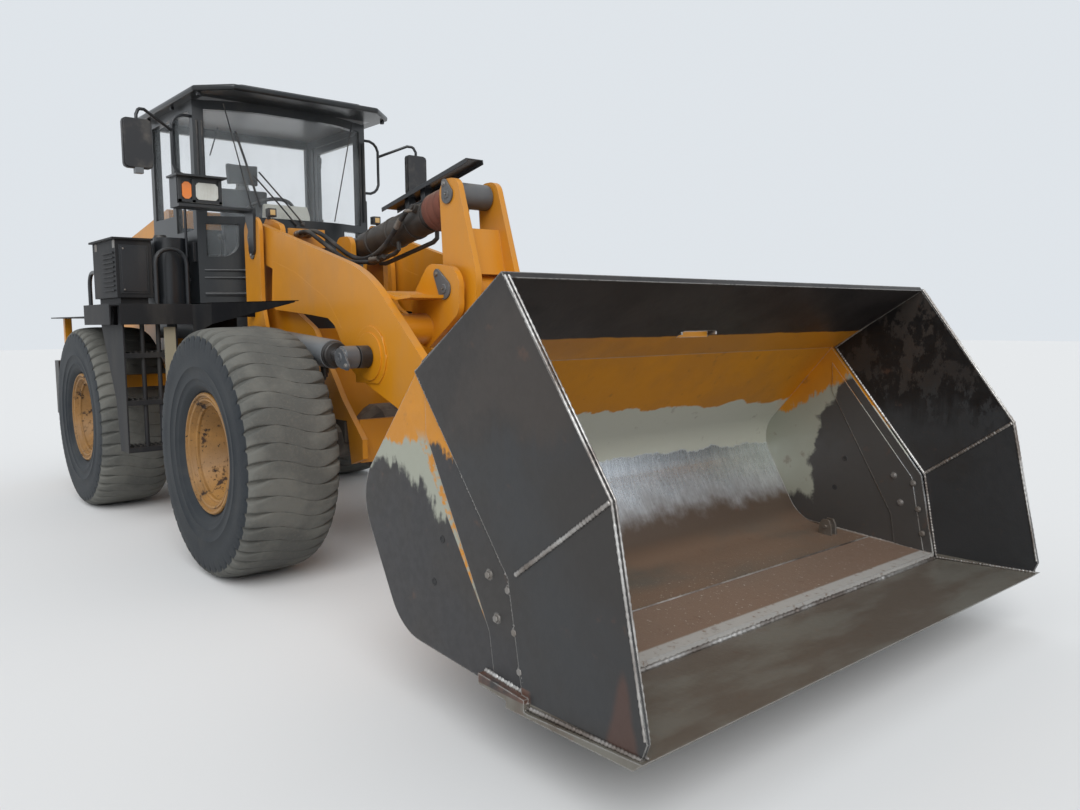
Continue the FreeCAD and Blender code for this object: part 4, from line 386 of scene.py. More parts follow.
NODE_LOOKS = (
    (yellow, "front_frame rear_frame boom bell_crank tilt_link hood lid_left lid_right"),
    (cab_black, "cab_body cab_roof door_left"),
    (box_black, "side_box ladders platforms"),
    (fender_black_painted_shade, "front_fenders"),
    (black, "headlamps tilt_guard tank grille exhaust_stack air_intake handrails"),
    (dusty_black, "counterweight"),
    (cylinder_grey, "lift_barrel_left lift_barrel_right steer_barrel_left steer_barrel_right"),
    (barrel_dark, "tilt_barrel"),
    (oxide, "tilt_collar"),
    (cast, "front_axle rear_axle engine_block"),
    (chrome, "lift_rod_left lift_rod_right tilt_rod steer_rod_left steer_rod_right"),
    (bucket_steel, "bucket"),
    (plate_steel, "bucket_extension"),
    (glass, "cab_glass door_glass"),
    (trim, "mirrors rear_lamps dashboard steering_wheel seat_base"),
    (cloth, "seat"),
    (sidewall, "tyre_front_left tyre_front_right tyre_rear_left tyre_rear_right"),
    (ochre, "rim_front_left rim_front_right rim_rear_left rim_rear_right"),
)

for look, names in NODE_LOOKS:
    for name in names.split():
        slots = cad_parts[name].data.materials
        slots.clear()
        slots.append(look.material)


# Ways to make pieces
class Piece:
    """One added piece, gathered from plates, turned forms, bars and bolts."""

    def __init__(self, name, body, slot=None):
        self.name, self.body, self.slot = name, body, slot
        self.points, self.faces, self.marks, self.looks = [], [], [], []

    def add(self, points, faces, look):
        """Adds corners and faces of one look."""
        if look not in self.looks:
            self.looks.append(look)
        start = len(self.points)
        self.points += [tuple(point) for point in points]
        self.faces += [tuple(start + index for index in face) for face in faces]
        self.marks += [self.looks.index(look)] * len(faces)
        return self

    def prism(self, plane, outline, low, high, look):
        """A plate: an outline in the XY, XZ or YZ plane between two places along its normal."""
        first, last = ["XYZ".index(letter) for letter in plane]
        other, count = 3 - first - last, len(outline)
        points = []
        for depth in (low, high):
            for corner in outline:
                spot = [0, 0, 0]
                spot[first], spot[last], spot[other] = corner[0], corner[1], depth
                points.append(spot)
        around = [(step, (step + 1) % count, count + (step + 1) % count,
                   count + step) for step in range(count)]
        return self.add(points, [tuple(range(count)), tuple(range(count, 2 * count)), *around], look)

    def block(self, low, high, look):
        """A block between two corners."""
        return self.prism("XY", ((low[0], low[1]), (high[0], low[1]), (high[0], high[1]), (low[0], high[1])),
                          low[2], high[2], look)

    def turn(self, base, axis, outline, look, sides=32):
        """A turned form: outline corners are (along the axis from base, radius)."""
        axis = Vector(axis).normalized()
        one = axis.orthogonal().normalized()
        two, base, count = axis.cross(one), Vector(base), len(outline)
        points = [base + axis * place + (one * math.cos(FULL_TURN * step / sides)
                                         + two * math.sin(FULL_TURN * step / sides)) * radius
                  for step in range(sides) for place, radius in outline]
        faces = [(step * count + index, step * count + (index + 1) % count,
                  (step + 1) % sides * count + (index + 1) % count, (step + 1) % sides * count + index)
                 for step in range(sides) for index in range(count)]
        return self.add(points, faces, look)

    def tube(self, path, radius, look, sides=8, ripple=0.0):
        """A round bar along a path; ripple varies its radius as in a weld bead."""
        path = [Vector(point) for point in path]
        ways = [(last - first).normalized() for first, last in zip(path, path[1:])]
        one, points = ways[0].orthogonal().normalized(), []
        for index, spot in enumerate(path):
            way = (ways[max(index - 1, 0)] + ways[min(index, len(ways) - 1)]).normalized()
            one = (one - way * one.dot(way)).normalized()
            two = way.cross(one)
            wide = radius * (1 + ripple * (noise.noise(spot * 95) + 0.5 * math.sin(index * 1.9)))
            points += [spot + (one * math.cos(FULL_TURN * step / sides)
                               + two * math.sin(FULL_TURN * step / sides)) * wide for step in range(sides)]
        faces = [(ring * sides + step, ring * sides + (step + 1) % sides,
                  (ring + 1) * sides + (step + 1) % sides, (ring + 1) * sides + step)
                 for ring in range(len(path) - 1) for step in range(sides)]
        ends = [tuple(range(sides)), tuple(range(len(points) - sides, len(points)))]
        return self.add(points, faces + ends, look)

    def weld(self, corners, radius, look, step=0.005):
        """A weld bead along straight runs."""
        path = []
        for first, last in zip(corners, corners[1:]):
            first, last = Vector(first), Vector(last)
            count = max(2, int((last - first).length / step))
            path += [first.lerp(last, index / count) for index in range(count)]
        return self.tube([*path, Vector(corners[-1])], radius, look, 6, 0.35)

    def bolt(self, base, axis, size, look):
        """A hexagon head on a washer."""
        self.turn(base, axis, ((0, 0), (0, size * 1.25), (size * 0.2, size * 1.25), (size * 0.2, 0)), look,
                  16)
        return self.turn(base, axis, ((0, 0), (0, size), (size * 0.7, size), (size * 0.85, size * 0.85),
                                      (size * 0.85, 0)), look, 6)

    def done(self, *nodes, bevel=0.0, angle=35):
        """Makes the object, which rides on its body and may replace CAD nodes."""
        mesh = bpy.data.meshes.new(self.name)
        mesh.from_pydata(self.points, [], self.faces)
        for look in self.looks:
            mesh.materials.append(look.material)
        mesh.polygons.foreach_set("material_index", self.marks)
        form = bmesh.new()
        form.from_mesh(mesh)
        bmesh.ops.remove_doubles(form, verts=form.verts, dist=1e-5)
        bmesh.ops.recalc_face_normals(form, faces=form.faces)
        form.to_mesh(mesh)
        form.free()
        mesh.shade_smooth()
        mesh.set_sharp_from_angle(angle=math.radians(angle))
        item = bpy.data.objects.new(self.name, mesh)
        bpy.context.scene.collection.objects.link(item)
        if bevel:
            rounding = item.modifiers.new("edges", "BEVEL")
            rounding.width, rounding.segments, rounding.limit_method = bevel, 2, "ANGLE"
        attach(item, self.body)
        if nodes:
            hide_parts(*nodes)
        return item


def hose(name, body, points, radius, look=rubber, joint=None):
    """A hose on a smooth curve; joint names two bodies and where it passes from one to the other, but only its presence
    is used: such a hose is made a mesh fixed in place, riding on no body.
    """
    curve = bpy.data.curves.new(name, "CURVE")
    curve.dimensions, curve.bevel_depth, curve.bevel_resolution, curve.use_fill_caps = "3D", radius, 3, True
    spline = curve.splines.new("NURBS")
    spline.points.add(len(points) - 1)
    for point, place in zip(spline.points, points):
        point.co = (*place, 1)
    spline.order_u, spline.use_endpoint_u, spline.resolution_u = 3, True, 8
    curve.materials.append(look.material)
    item = bpy.data.objects.new(name, curve)
    bpy.context.scene.collection.objects.link(item)
    if joint:
        mesh = bpy.data.meshes.new_from_object(item)
        bpy.data.objects.remove(item)
        item = bpy.data.objects.new(name, mesh)
        bpy.context.scene.collection.objects.link(item)
        mesh.shade_smooth()
        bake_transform(item)
    else:
        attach(item, body)
    return item


# Wheels
WHEELS = (("front_left", 0.52, 1), ("front_right", 0.52, -1), ("rear_left", -2.48, 1),
          ("rear_right", -2.48, -1))
TRACK_HALF, WHEEL_RADIUS, GROOVES = 1.11, 0.79, 48
TYRE_ROWS = (  # across from the middle, radius, share of the groove's depth, share of the fine ribs
    (0.2277, 0.330, 0, 0), (0.2277, 0.392, 0, 0), (0.245, 0.402, 0, 0), (0.262, 0.425, 0, 0),
    (0.272, 0.436, 0, 0), (0.272, 0.446, 0, 0), (0.279, 0.470, 0, 0), (0.284, 0.474, 0, 0),
    (0.284, 0.484, 0, 0), (0.282, 0.490, 0, 0), (0.2885, 0.545, 0, 0),
    (0.2925, 0.548, 0, 0), (0.2925, 0.553, 0, 0), (0.290, 0.557, 0, 0),
    (0.294, 0.62, 0, 0), (0.2945, 0.658, 0, 0), (0.2945, 0.664, 0, 1), (0.291, 0.700, 0.05, 1),
    (0.288, 0.722, 0.3, 1), (0.283, 0.740, 0.75, 0.4), (0.277, 0.752, 1, 0), (0.264, 0.764, 1, 0),
    (0.246, 0.773, 0.92, 0), (0.226, 0.779, 0.80, 0), (0.204, 0.783, 0.62, 0), (0.182, 0.786, 0.42, 0),
    (0.160, 0.788, 0.22, 0), (0.138, 0.789, 0.10, 0), (0.115, 0.790, 0.03, 0), (0.090, 0.790, 0.05, 0),
    (0.065, 0.790, 0.14, 0), (0.032, 0.790, 0.04, 0),
)


def tyre(corner, x, side):
    """A worn tyre: wavy narrow grooves run in from both shoulders, with fine ribs on the wall."""
    rows = [*TYRE_ROWS, (0.0, 0.790, 0, 0), *[(-row[0], *row[1:]) for row in TYRE_ROWS[::-1]]]
    pitch, points, count = FULL_TURN * WHEEL_RADIUS / GROOVES, [], len(rows)
    for step in range(GROOVES):
        for sample in range(9):
            for place, radius, share, ribs in rows:
                half = 0.002 + 0.020 * share ** 1.6
                offset, deep = ((-half - 0.006, 0), (-half, 0.15), (-half * 0.5, 1), (half * 0.5, 1),
                                (half, 0.15),
                                (half + 0.006, 0), (pitch * 0.35, 0), (pitch * 0.5, 0),
                                (pitch * 0.65, 0))[sample]
                wave = -0.034 * math.sin(FULL_TURN * (0.29 - side * place) / 0.58)
                turn = (step * pitch + offset + wave) / WHEEL_RADIUS
                wear = 0.002 * noise.noise(Vector((turn * 2.2, place * 6, x)))
                down = 0.030 * share ** 0.8 * deep + 0.006 * ribs * (sample % 3 == 1) - min(0, wear)
                points.append((x + (radius - down) * math.sin(turn), TRACK_HALF * side + place,
                               WHEEL_RADIUS + (radius - down) * math.cos(turn)))
    rings, tread_faces, wall_faces = GROOVES * 9, [], []
    for ring in range(rings):
        for row in range(count):
            after = (row + 1) % count
            face = (ring * count + row, ring * count + after, (ring + 1) % rings * count + after,
                    (ring + 1) % rings * count + row)
            crown = row < count - 1 and min(rows[row][1], rows[after][1]) > 0.738
            (tread_faces if crown else wall_faces).append(face)
    piece = Piece("tyre_looks_" + corner, "wheel_" + corner, "rubber_tread")
    piece.add(points, tread_faces, tread)
    piece.looks.append(sidewall)
    piece.faces += wall_faces
    piece.marks += [1] * len(wall_faces)
    piece.done("tyre_" + corner, angle=50)


def rim(corner, x, side):
    """The rim with its lock ring steps, deep disc, hub and bolts."""
    centre, out = (x, TRACK_HALF * side, WHEEL_RADIUS), (0, side, 0)
    piece = Piece("rim_looks_" + corner, "wheel_" + corner, "ochre")
    piece.turn(centre, out, (
        (-0.245, 0.0605), (-0.245, 0.165), (-0.174, 0.165), (-0.174, 0.285), (-0.25, 0.300), (-0.25, 0.385),
        (-0.228, 0.385), (-0.228, 0.3295), (0.228, 0.3295), (0.228, 0.384), (0.242, 0.385), (0.25, 0.378),
        (0.25, 0.366), (0.236, 0.360), (0.234, 0.350), (0.242, 0.345), (0.239, 0.334), (0.205, 0.318),
        (0.207, 0.308), (0.200, 0.299), (0.188, 0.297)), ochre, 96)
    # The well and hub take the darker look: rust, and painted shade in the recess.
    piece.turn(centre, out, (
        (0.188, 0.297), (0.125, 0.290), (0.118, 0.272), (0.112, 0.262), (0.100, 0.262), (0.094, 0.270),
        (0.060, 0.276), (-0.090, 0.279), (-0.110, 0.270), (-0.125, 0.250), (-0.12, 0.205), (-0.13, 0.168),
        (-0.11, 0.165), (-0.095, 0.158),
        (-0.08, 0.135), (-0.08, 0.062), (-0.066, 0.058), (-0.066, 0.0), (-0.11, 0), (-0.11, 0.0605),
        (-0.174, 0.0605), (-0.174, 0.285), (0.10, 0.297)), rusty_well_painted_shade, 96)
    for count, radius, place, size in ((20, 0.228, -0.124, 0.015), (12, 0.118, -0.080, 0.010)):
        for step in range(count):
            turn = FULL_TURN * step / count
            piece.bolt((centre[0] + radius * math.cos(turn), centre[1] + side * place,
                        centre[2] + radius * math.sin(turn)), out, size, rusty_well_painted_shade)
    piece.done("rim_" + corner)


for wheel in WHEELS:
    tyre(*wheel)
    rim(*wheel)


# Hydraulic cylinders, turned smooth in place of the many-sided solids
def barrel(name, body, tail, head, radius, length, rod, eye, eye_half, eye_axis, look, slot="grey_cyl"):
    """A barrel with its tail eye and dark gland."""
    way = (Vector(head) - Vector(tail)).normalized()
    piece = Piece(name, body, slot)
    piece.turn(tail, way, ((eye * 0.6, eye_half * 0.9), (eye + 0.015, radius), (length - 0.045, radius),
                           (length - 0.045, rod + 0.0003), (eye + 0.06, rod + 0.0003), (eye + 0.06, 0),
                           (eye * 0.6, 0)), look, 64)
    piece.turn(tail, way, ((length - 0.045, rod + 0.0003), (length - 0.045, radius - 0.006),
                           (length - 0.030, radius - 0.006), (length - 0.028, radius - 0.010),
                           (length - 0.006, radius - 0.010), (length, radius - 0.016),
                           (length, rod + 0.0003)), barrel_dark, 64)
    low = Vector(tail) - Vector(eye_axis) * eye_half
    piece.turn(low, eye_axis, ((0, eye * 0.5 + 0.0003), (0, eye - 0.006), (0.006, eye),
                               (2 * eye_half - 0.006, eye),
                               (2 * eye_half, eye - 0.006), (2 * eye_half, eye * 0.5 + 0.0003)), look, 48)
    return piece


def rod_piece(name, body, tail, head, start, radius, eye, low, thick, eye_axis):
    """A chromed rod with its painted head eye."""
    way, reach = (Vector(head) - Vector(tail)).normalized(), (Vector(head) - Vector(tail)).length
    piece = Piece(name, body, "chrome_rod")
    piece.turn(tail, way, ((start, 0), (start, radius), (reach - eye * 0.8, radius), (reach - eye * 0.8, 0)),
               chrome, 48)
    piece.turn(tail, way, ((reach - eye * 1.15, radius - 0.001), (reach - eye * 1.15, radius + 0.004),
                           (reach - eye * 1.05, radius * 1.25), (reach - eye * 0.6, radius * 1.3),
                           (reach - eye * 0.6, radius - 0.001)), plate_grey, 32)
    piece.turn(Vector(head) + Vector(eye_axis) * low, eye_axis, (
        (0, 0), (0, eye - 0.006), (0.006, eye), (thick - 0.006, eye), (thick, eye - 0.006), (thick, 0)),
        plate_grey, 48)
    return piece


for word, sign in SIDES:
    tail, head, side_axis = (-0.32, 0.705 * sign, 1.5), (1.18, 0.705 * sign, 1.39), (0, sign, 0)
    lift = barrel("lift_barrel_looks_" + word, "lift_cylinder_" + word, tail, head, 0.092, 1.355, 0.045,
                  0.080, 0.050,
                  side_axis, cylinder_grey)
    lift.turn((0.86, 0.705 * sign, 1.33), (0.05, 0, -1), ((0, 0), (0, 0.026), (0.05, 0.026), (0.05, 0.018),
                                                          (0.075, 0.018), (0.075, 0)), barrel_dark, 20)
    lift.tube(((0.862, 0.705 * sign, 1.27), (0.85, 0.705 * sign, 1.245), (0.80, 0.702 * sign, 1.238),
               (0.0, 0.70 * sign, 1.30),
               (-0.10, 0.67 * sign, 1.32)), 0.013, rubber)
    for place in (0.15, 0.55):
        height = 1.5 - 0.0733 * (place + 0.32)
        lift.block((place, 0.69 * sign - 0.014, height - 0.215), (place + 0.03, 0.69 * sign + 0.026,
                                                                  height - 0.085),
                   cylinder_grey)
    lift.done("lift_barrel_" + word)
    rod = rod_piece("lift_rod_looks_" + word, "lift_piston_" + word, tail, head, 0.21, 0.045, 0.070, -0.048,
                    0.098,
                    side_axis)
    rod.turn((1.18, 0.576 * sign, 1.39), side_axis, ((0, 0), (0, 0.070), (0.006, 0.070), (0.074, 0.0705),
                                                     (0.078, 0.062),
                                                     (0.078, 0)), dusty_black, 48)
    drop = [(1.18 + 0.060 * math.cos(turn), 1.39 + 0.060 * math.sin(turn))
            for turn in [math.radians(40 + 22.5 * step) for step in range(11)]]
    drop += [(1.262 + 0.026 * math.cos(turn), 1.340 + 0.026 * math.sin(turn))
             for turn in [math.radians(-110 + 30 * step) for step in range(6)]]
    rod.prism("XZ", drop, 0.755 * sign, 0.767 * sign, plate_grey)
    rod.turn((1.18, 0.767 * sign, 1.39), side_axis, ((0, 0), (0, 0.030), (0.006, 0.027), (0.006, 0.010),
                                                     (0.002, 0.009),
                                                     (0.002, 0)), plate_grey, 24)
    rod.bolt((1.258, 0.767 * sign, 1.343), side_axis, 0.013, bolt_steel)
    rod.done("lift_rod_" + word)
    tail, head = (-1.66, 0.33 * sign, 0.86), (-0.78, 0.34 * sign, 0.86)
    barrel("steer_barrel_looks_" + word, "steer_cylinder_" + word, tail, head, 0.045, 0.52, 0.025, 0.050,
           0.042,
           (0, 0, 1), cylinder_grey).done("steer_barrel_" + word)
    rod_piece("steer_rod_looks_" + word, "steer_piston_" + word, tail, head, 0.345, 0.025, 0.050, -0.042,
              0.084,
              (0, 0, 1)).done("steer_rod_" + word)

TILT_TAIL, TILT_HEAD = Vector((0.12, 0, 2.14)), Vector((1.5, 0, 2.38))
TILT_WAY = (TILT_HEAD - TILT_TAIL).normalized()
TILT_UP = Vector((-TILT_WAY.z, 0, TILT_WAY.x))


def tilt_spot(along, up=0.0, side=0.0):
    """A place beside the tilt cylinder, measured from its tail pin."""
    return TILT_TAIL + TILT_WAY * along + TILT_UP * up + Vector((0, side, 0))


tilt = barrel("tilt_barrel_looks", "tilt_cylinder", TILT_TAIL, TILT_HEAD, 0.105, 1.010, 0.05, 0.085, 0.104,
              (0, 1, 0),
              barrel_dark)
for side in (-0.05, 0.05):
    end = 0.93 if side > 0 else 0.60
    tilt.tube([tilt_spot(0.16, -0.10, side), tilt_spot(0.17, -0.14, side), tilt_spot(0.24, -0.155, side),
               tilt_spot(end - 0.06, -0.155, side), tilt_spot(end - 0.01, -0.14, side),
               tilt_spot(end, -0.09, side)],
              0.016, barrel_dark)
tilt.turn(tilt_spot(0.93, 0.04, -0.09), TILT_UP * 0.4 - Vector((0, 1, 0)), (
    (0, 0), (0, 0.030), (0.035, 0.030), (0.035, 0.020), (0.05, 0.020), (0.05, 0)), barrel_dark, 20)
for place in (0.22, 0.5, 0.75):
    tilt.turn(tilt_spot(place), TILT_WAY, ((0, 0.104), (0, 0.111), (0.03, 0.111), (0.03, 0.104)),
              barrel_dark, 48)
tilt.done("tilt_barrel")
collar = Piece("tilt_collar_looks", "tilt_cylinder", "oxide")
collar_rows = [(1.010, 0.0505), (1.010, 0.108), (1.022, 0.122), (1.035, 0.127), (1.075, 0.1265),
               (1.082, 0.121),
               (1.092, 0.121), (1.100, 0.1275), (1.145, 0.1265), (1.155, 0.120), (1.165, 0.1265),
               (1.205, 0.127),
               (1.222, 0.120), (1.225, 0.100), (1.225, 0.0505)]
collar.turn(TILT_TAIL, TILT_WAY, collar_rows, oxide, 64)
for step in range(8):
    turn = FULL_TURN * step / 8
    collar.bolt(tilt_spot(1.225, 0.085 * math.cos(turn), 0.085 * math.sin(turn)), TILT_WAY, 0.010, oxide)
collar.done("tilt_collar")
rod_piece("tilt_rod_looks", "tilt_piston", TILT_TAIL, TILT_HEAD, 0.195, 0.05, 0.080, -0.124, 0.248,
          (0, 1, 0)).done("tilt_rod")

# Keeper plates, pin heads and bolts on the arms
KEEPERS = (  # name, body, pin (x, z), outer face, pin radius, direction of the keeper in side view, reach
    ("crank_top", "rocker", (1.5, 2.38), 0.170, 0.050, (-0.35, 0.94), 0.07),
    ("crank_pivot", "lift_arms", (1.56, 1.80), 0.244, 0.055, (-0.62, 0.78), 0.12),
    ("boom_root", "front_half", (-0.45, 2.24), 0.605, 0.050, (0.1, -0.99), 0.13),
    ("boom_tip", "scoop", (2.46, 0.46), 0.608, 0.045, (-0.6, 0.5), 0.05),
    ("lift_tail", "front_half", (-0.32, 1.5), 0.785, 0.040, (0.3, 0.9), 0.0),
)
for name, body, (pin_x, pin_z), face, radius, way, reach in KEEPERS:
    piece = Piece("keeper_" + name, body, "cast")
    for sign in (1, -1):
        low, thick = face * sign, 0.012 * sign
        if reach:
            tip_x, tip_z = pin_x + way[0] * reach, pin_z + way[1] * reach
            turn = math.atan2(way[1], way[0])
            outline = [(pin_x + radius * 1.15 * math.cos(turn + math.pi / 2 + math.pi * step / 12),
                        pin_z + radius * 1.15 * math.sin(turn + math.pi / 2 + math.pi * step / 12)) for step in range(13)]
            outline += [(tip_x + radius * 0.6 * math.cos(turn - math.pi / 2 + math.pi * step / 8),
                         tip_z + radius * 0.6 * math.sin(turn - math.pi / 2 + math.pi * step / 8)) for step in range(9)]
            piece.prism("XZ", outline, low, low + thick, plate_grey)
            piece.bolt((tip_x, low + thick, tip_z), (0, sign, 0), 0.013, bolt_steel)
        else:
            thick = 0
        piece.turn((pin_x, low + thick, pin_z), (0, sign, 0), ((0, 0), (0, radius * 0.55),
                                                               (0.006, radius * 0.5),
                                                             (0.006, radius * 0.18), (0.002, radius * 0.15),
                                                             (0.002, 0)), plate_grey, 24)
        piece.turn((pin_x, low + thick + 0.002 * sign, pin_z), (0, sign, 0),
                   ((0, 0), (0, 0.006), (0.012, 0.005), (0.012, 0)),
                   bolt_steel, 8)
    piece.done(bevel=0.002)

# Bucket: weld beads, bolts, side cutters, nuts, lip and clevis
welds = Piece("bucket_welds", "scoop", "steel")
for sign in (1, -1):
    outer, skin_in, inner = 1.457 * sign, 1.453 * sign, 1.4275 * sign
    welds.weld(((3.125, outer, 1.415), (3.693, outer, 0.712), (3.773, outer, 0.330)), 0.011, bead)
    welds.weld(((3.545, outer, 0.334), (3.775, outer, 0.318), (3.80, 1.472 * sign, 0.290)), 0.011, bead)
    for place in (1.471 * sign, 1.454 * sign):
        welds.weld(((3.742, place, 0.735), (3.97, place, 0.895), (4.198, place, 1.058)), 0.009, bead)
        welds.weld(((3.70, place, 1.757), (4.203, place, 1.061), (4.342, place, 0.36)), 0.0045, bead, 0.008)
    welds.weld(((3.18, skin_in, 1.432), (3.748, skin_in, 0.735), (3.828, skin_in, 0.285)), 0.0075, bead)
    welds.weld(((3.175, skin_in, 1.425), (3.685, skin_in, 1.762)), 0.006, bead)
    welds.weld(((3.83, skin_in, 0.278), (4.34, skin_in, 0.30)), 0.007, bead)
    welds.weld(((3.80, 1.472 * sign, 0.282), (4.33, 1.472 * sign, 0.298)), 0.009, bead)
    welds.weld(((3.70, 1.478 * sign, 0.277), (3.80, 1.478 * sign, 0.271)), 0.007, bead)
    welds.weld(((2.975, inner, 0.363), (3.815, inner, 0.300)), 0.006, bead, 0.008)
welds.weld(((3.166, -1.44, 1.441), (3.166, 1.44, 1.441)), 0.006, bead, 0.009)
welds.weld(((3.325, -1.45, 1.532), (3.33, -0.16, 1.536), (3.33, -0.16, 1.536)), 0.004, bead, 0.009)
welds.weld(((3.33, 0.09, 1.536), (3.325, 1.45, 1.532)), 0.004, bead, 0.009)
welds.weld(((3.826, -1.43, 0.274), (3.826, 1.43, 0.274)), 0.012, bead, 0.010)
welds.weld(((3.44, -1.42, 0.328), (3.44, 1.42, 0.328)), 0.0045, bead, 0.012)
welds.weld(((3.70, -1.48, 0.275), (3.70, 1.48, 0.275)), 0.006, bead, 0.012)
welds.done(angle=80)

BOLTS = ((3.577, 0.698), (3.692, 0.668), (3.620, 0.548), (3.725, 0.525), (3.752, 0.392))
fittings = Piece("bucket_bolts", "scoop", "steel")
for sign in (1, -1):
    cutter = ((3.182, 1.170), (3.571, 0.487), (3.598, 0.318), (3.770, 0.300), (3.690, 0.712), (3.180, 1.340))
    for low, high in ((1.455, 1.4605), (1.4235, 1.429)):
        fittings.prism("XZ", cutter, low * sign, high * sign, bucket_steel)
    for place_x, place_z in BOLTS:
        fittings.bolt((place_x, 1.4605 * sign, place_z), (0, sign, 0), 0.0145, bolt_steel)
        fittings.bolt((place_x + 0.008, 1.4235 * sign, place_z + 0.012), (0, -sign, 0), 0.0135, bolt_steel)
    for place_x, place_z in ((3.274, 0.77), (3.212, 0.59), (3.399, 1.059)):
        for base, way in ((1.4552, 1), (1.4288, -1)):
            fittings.turn((place_x, base * sign, place_z), (0, way * sign, 0), (
                (0, 0), (0, 0.016), (0.0015, 0.015), (0.0015, 0.010), (0.0003, 0.0095), (0.0003, 0)), rubber,
                20)
for side in (-0.024, 0.024):
    fittings.prism("XZ", ((3.215, 0.312), (3.305, 0.306), (3.300, 0.395), (3.285, 0.425), (3.245, 0.428),
                          (3.225, 0.400)),
                   1.28 + side - 0.007, 1.28 + side + 0.007, bolt_steel)
fittings.turn((3.263, 1.24, 0.385), (0, 1, 0), ((0, 0), (0, 0.011), (0.08, 0.011), (0.08, 0)), bolt_steel, 16)
fittings.turn((3.26, 1.27, 0.309), (0, 0, 1), ((0, 0), (0, 0.12), (0.005, 0.09), (0.018, 0.04), (0.02, 0)),
              gravel, 24)
for place in (-0.165, 0.085):
    fittings.block((3.318, place, 1.531), (3.360, place + 0.012, 1.560), bead)
fittings.done(bevel=0.0012)

# Hoses and pipes
HOSE_ENDS = ((-0.15, (0.669, 2.098), (0.831, 2.207), (0.925, 2.285), (0.985, 2.325)),
             (-0.185, (0.50, 2.035), (0.56, 2.05), (0.60, 2.052), (0.64, 2.058)))
for number, (side, *last) in enumerate(HOSE_ENDS):
    shift = -0.035 * number
    hose("tilt_hose_%d" % number, None, [
        (-0.47, -0.17 + shift, 2.300), (-0.36, -0.17 + shift, 2.318), (-0.22, -0.16 + shift, 2.285 + shift),
        (-0.01, side, 2.185 + shift), (0.24, side, 2.075 + shift), (0.44, side, 2.042 + shift * 0.5),
        *[(x, side if number == 0 else -0.12, z) for x, z in last]], 0.017,
        joint=("front_half", "tilt_cylinder", (-0.05, 0, 2.14), (0.40, 0, 2.2)))
fitting = Piece("tilt_hose_fittings", "front_half", "cast")
for number in range(4):
    base = Vector((-0.56, -0.10 - 0.035 * number, 2.29 + 0.008 * (number % 2)))
    fitting.turn(base, (1, 0, 0.1), ((0, 0), (0, 0.017), (0.02, 0.017), (0.02, 0.021), (0.05, 0.021),
                                     (0.05, 0.016), (0.06, 0.019),
                                     (0.075, 0.016), (0.09, 0.0185), (0.10, 0.0185), (0.10, 0)), bolt_steel,
                                     16)
fitting.block((-0.575, -0.26, 2.20), (-0.555, 0.05, 2.345), yellow)
fitting.done(bevel=0.002)
crimp = Piece("tilt_hose_crimps", "tilt_cylinder", "cast")
crimp.turn((0.86, -0.15, 2.232), (0.094, 0, 0.078), ((0, 0), (0, 0.0215), (0.02, 0.023), (0.03, 0.020),
                                                     (0.045, 0.023),
                                                    (0.06, 0.020), (0.075, 0.0215), (0.075, 0)), bolt_steel,
                                                    20)
crimp.tube(((0.925, -0.15, 2.285), (0.985, -0.15, 2.330), (1.02, -0.13, 2.335), (1.03, -0.09, 2.33)), 0.013,
           bolt_steel, 12)
crimp.turn((0.52, -0.16, 2.037), (0.10, 0.03, 0.012), ((0, 0), (0, 0.0215), (0.02, 0.023), (0.03, 0.020),
                                                       (0.045, 0.023),
                                                      (0.06, 0.020), (0.075, 0.0215), (0.075, 0)),
                                                      bolt_steel, 20)
crimp.done()
for number, (side, height) in enumerate(((0.16, 1.24), (-0.16, 1.24), (0.22, 0.99), (-0.22, 0.99))):
    hose("hinge_hose_%d" % number, None, [
        (-1.30, side, height), (-1.18, side, height + 0.03), (-1.02, side * 1.15, height + 0.04),
        (-0.86, side * 1.15, height + 0.03), (-0.70, side, height), (-0.60, side, height)], 0.015,
        joint=("chassis", "front_half", (-1.20, 0, 0.85), (-0.76, 0, 0.85)))

# Boom: doubler plates at the lift pins, edge welds and grease at the root
boom_trim = Piece("boom_trim", "lift_arms", "yellow")
for sign in (1, -1):
    pad = [(1.18 + 0.19 * math.cos(turn), 1.39 + 0.19 * math.sin(turn))
           for turn in [math.radians(10 * step - 60) for step in range(24)]]
    boom_trim.prism("XZ", pad + [(1.0, 1.22)], 0.5505 * sign, 0.560 * sign, yellow)
    boom_trim.weld(((1.34, 0.552 * sign, 1.29), (1.372, 0.552 * sign, 1.39), (1.33, 0.552 * sign, 1.51),
                    (1.18, 0.552 * sign, 1.582)),
                   0.004, yellow, 0.01)
    boom_trim.turn((-0.45, 0.560 * sign, 2.24), (0, sign, 0), ((0, 0.05), (0, 0.095), (0.008, 0.095),
                                                               (0.008, 0.05)), trim, 40)
    boom_trim.turn((1.33, 0.485 * sign, 1.56), (0, sign, 0), ((0, 0.094), (0, 0.103), (0.009, 0.103),
                                                              (0.009, 0.094)), yellow, 40)
    boom_trim.prism("XZ", ((-0.22, 2.06), (0.15, 1.96), (0.62, 1.76), (0.82, 1.56), (0.745, 1.545),
                           (0.71, 1.585),
                           (0.62, 1.632), (0.36, 1.658), (0.0, 1.685), (-0.20, 1.70), (-0.26, 1.74)),
                    0.4947 * sign, 0.5503 * sign, yellow)
boom_trim.done(bevel=0.0015)

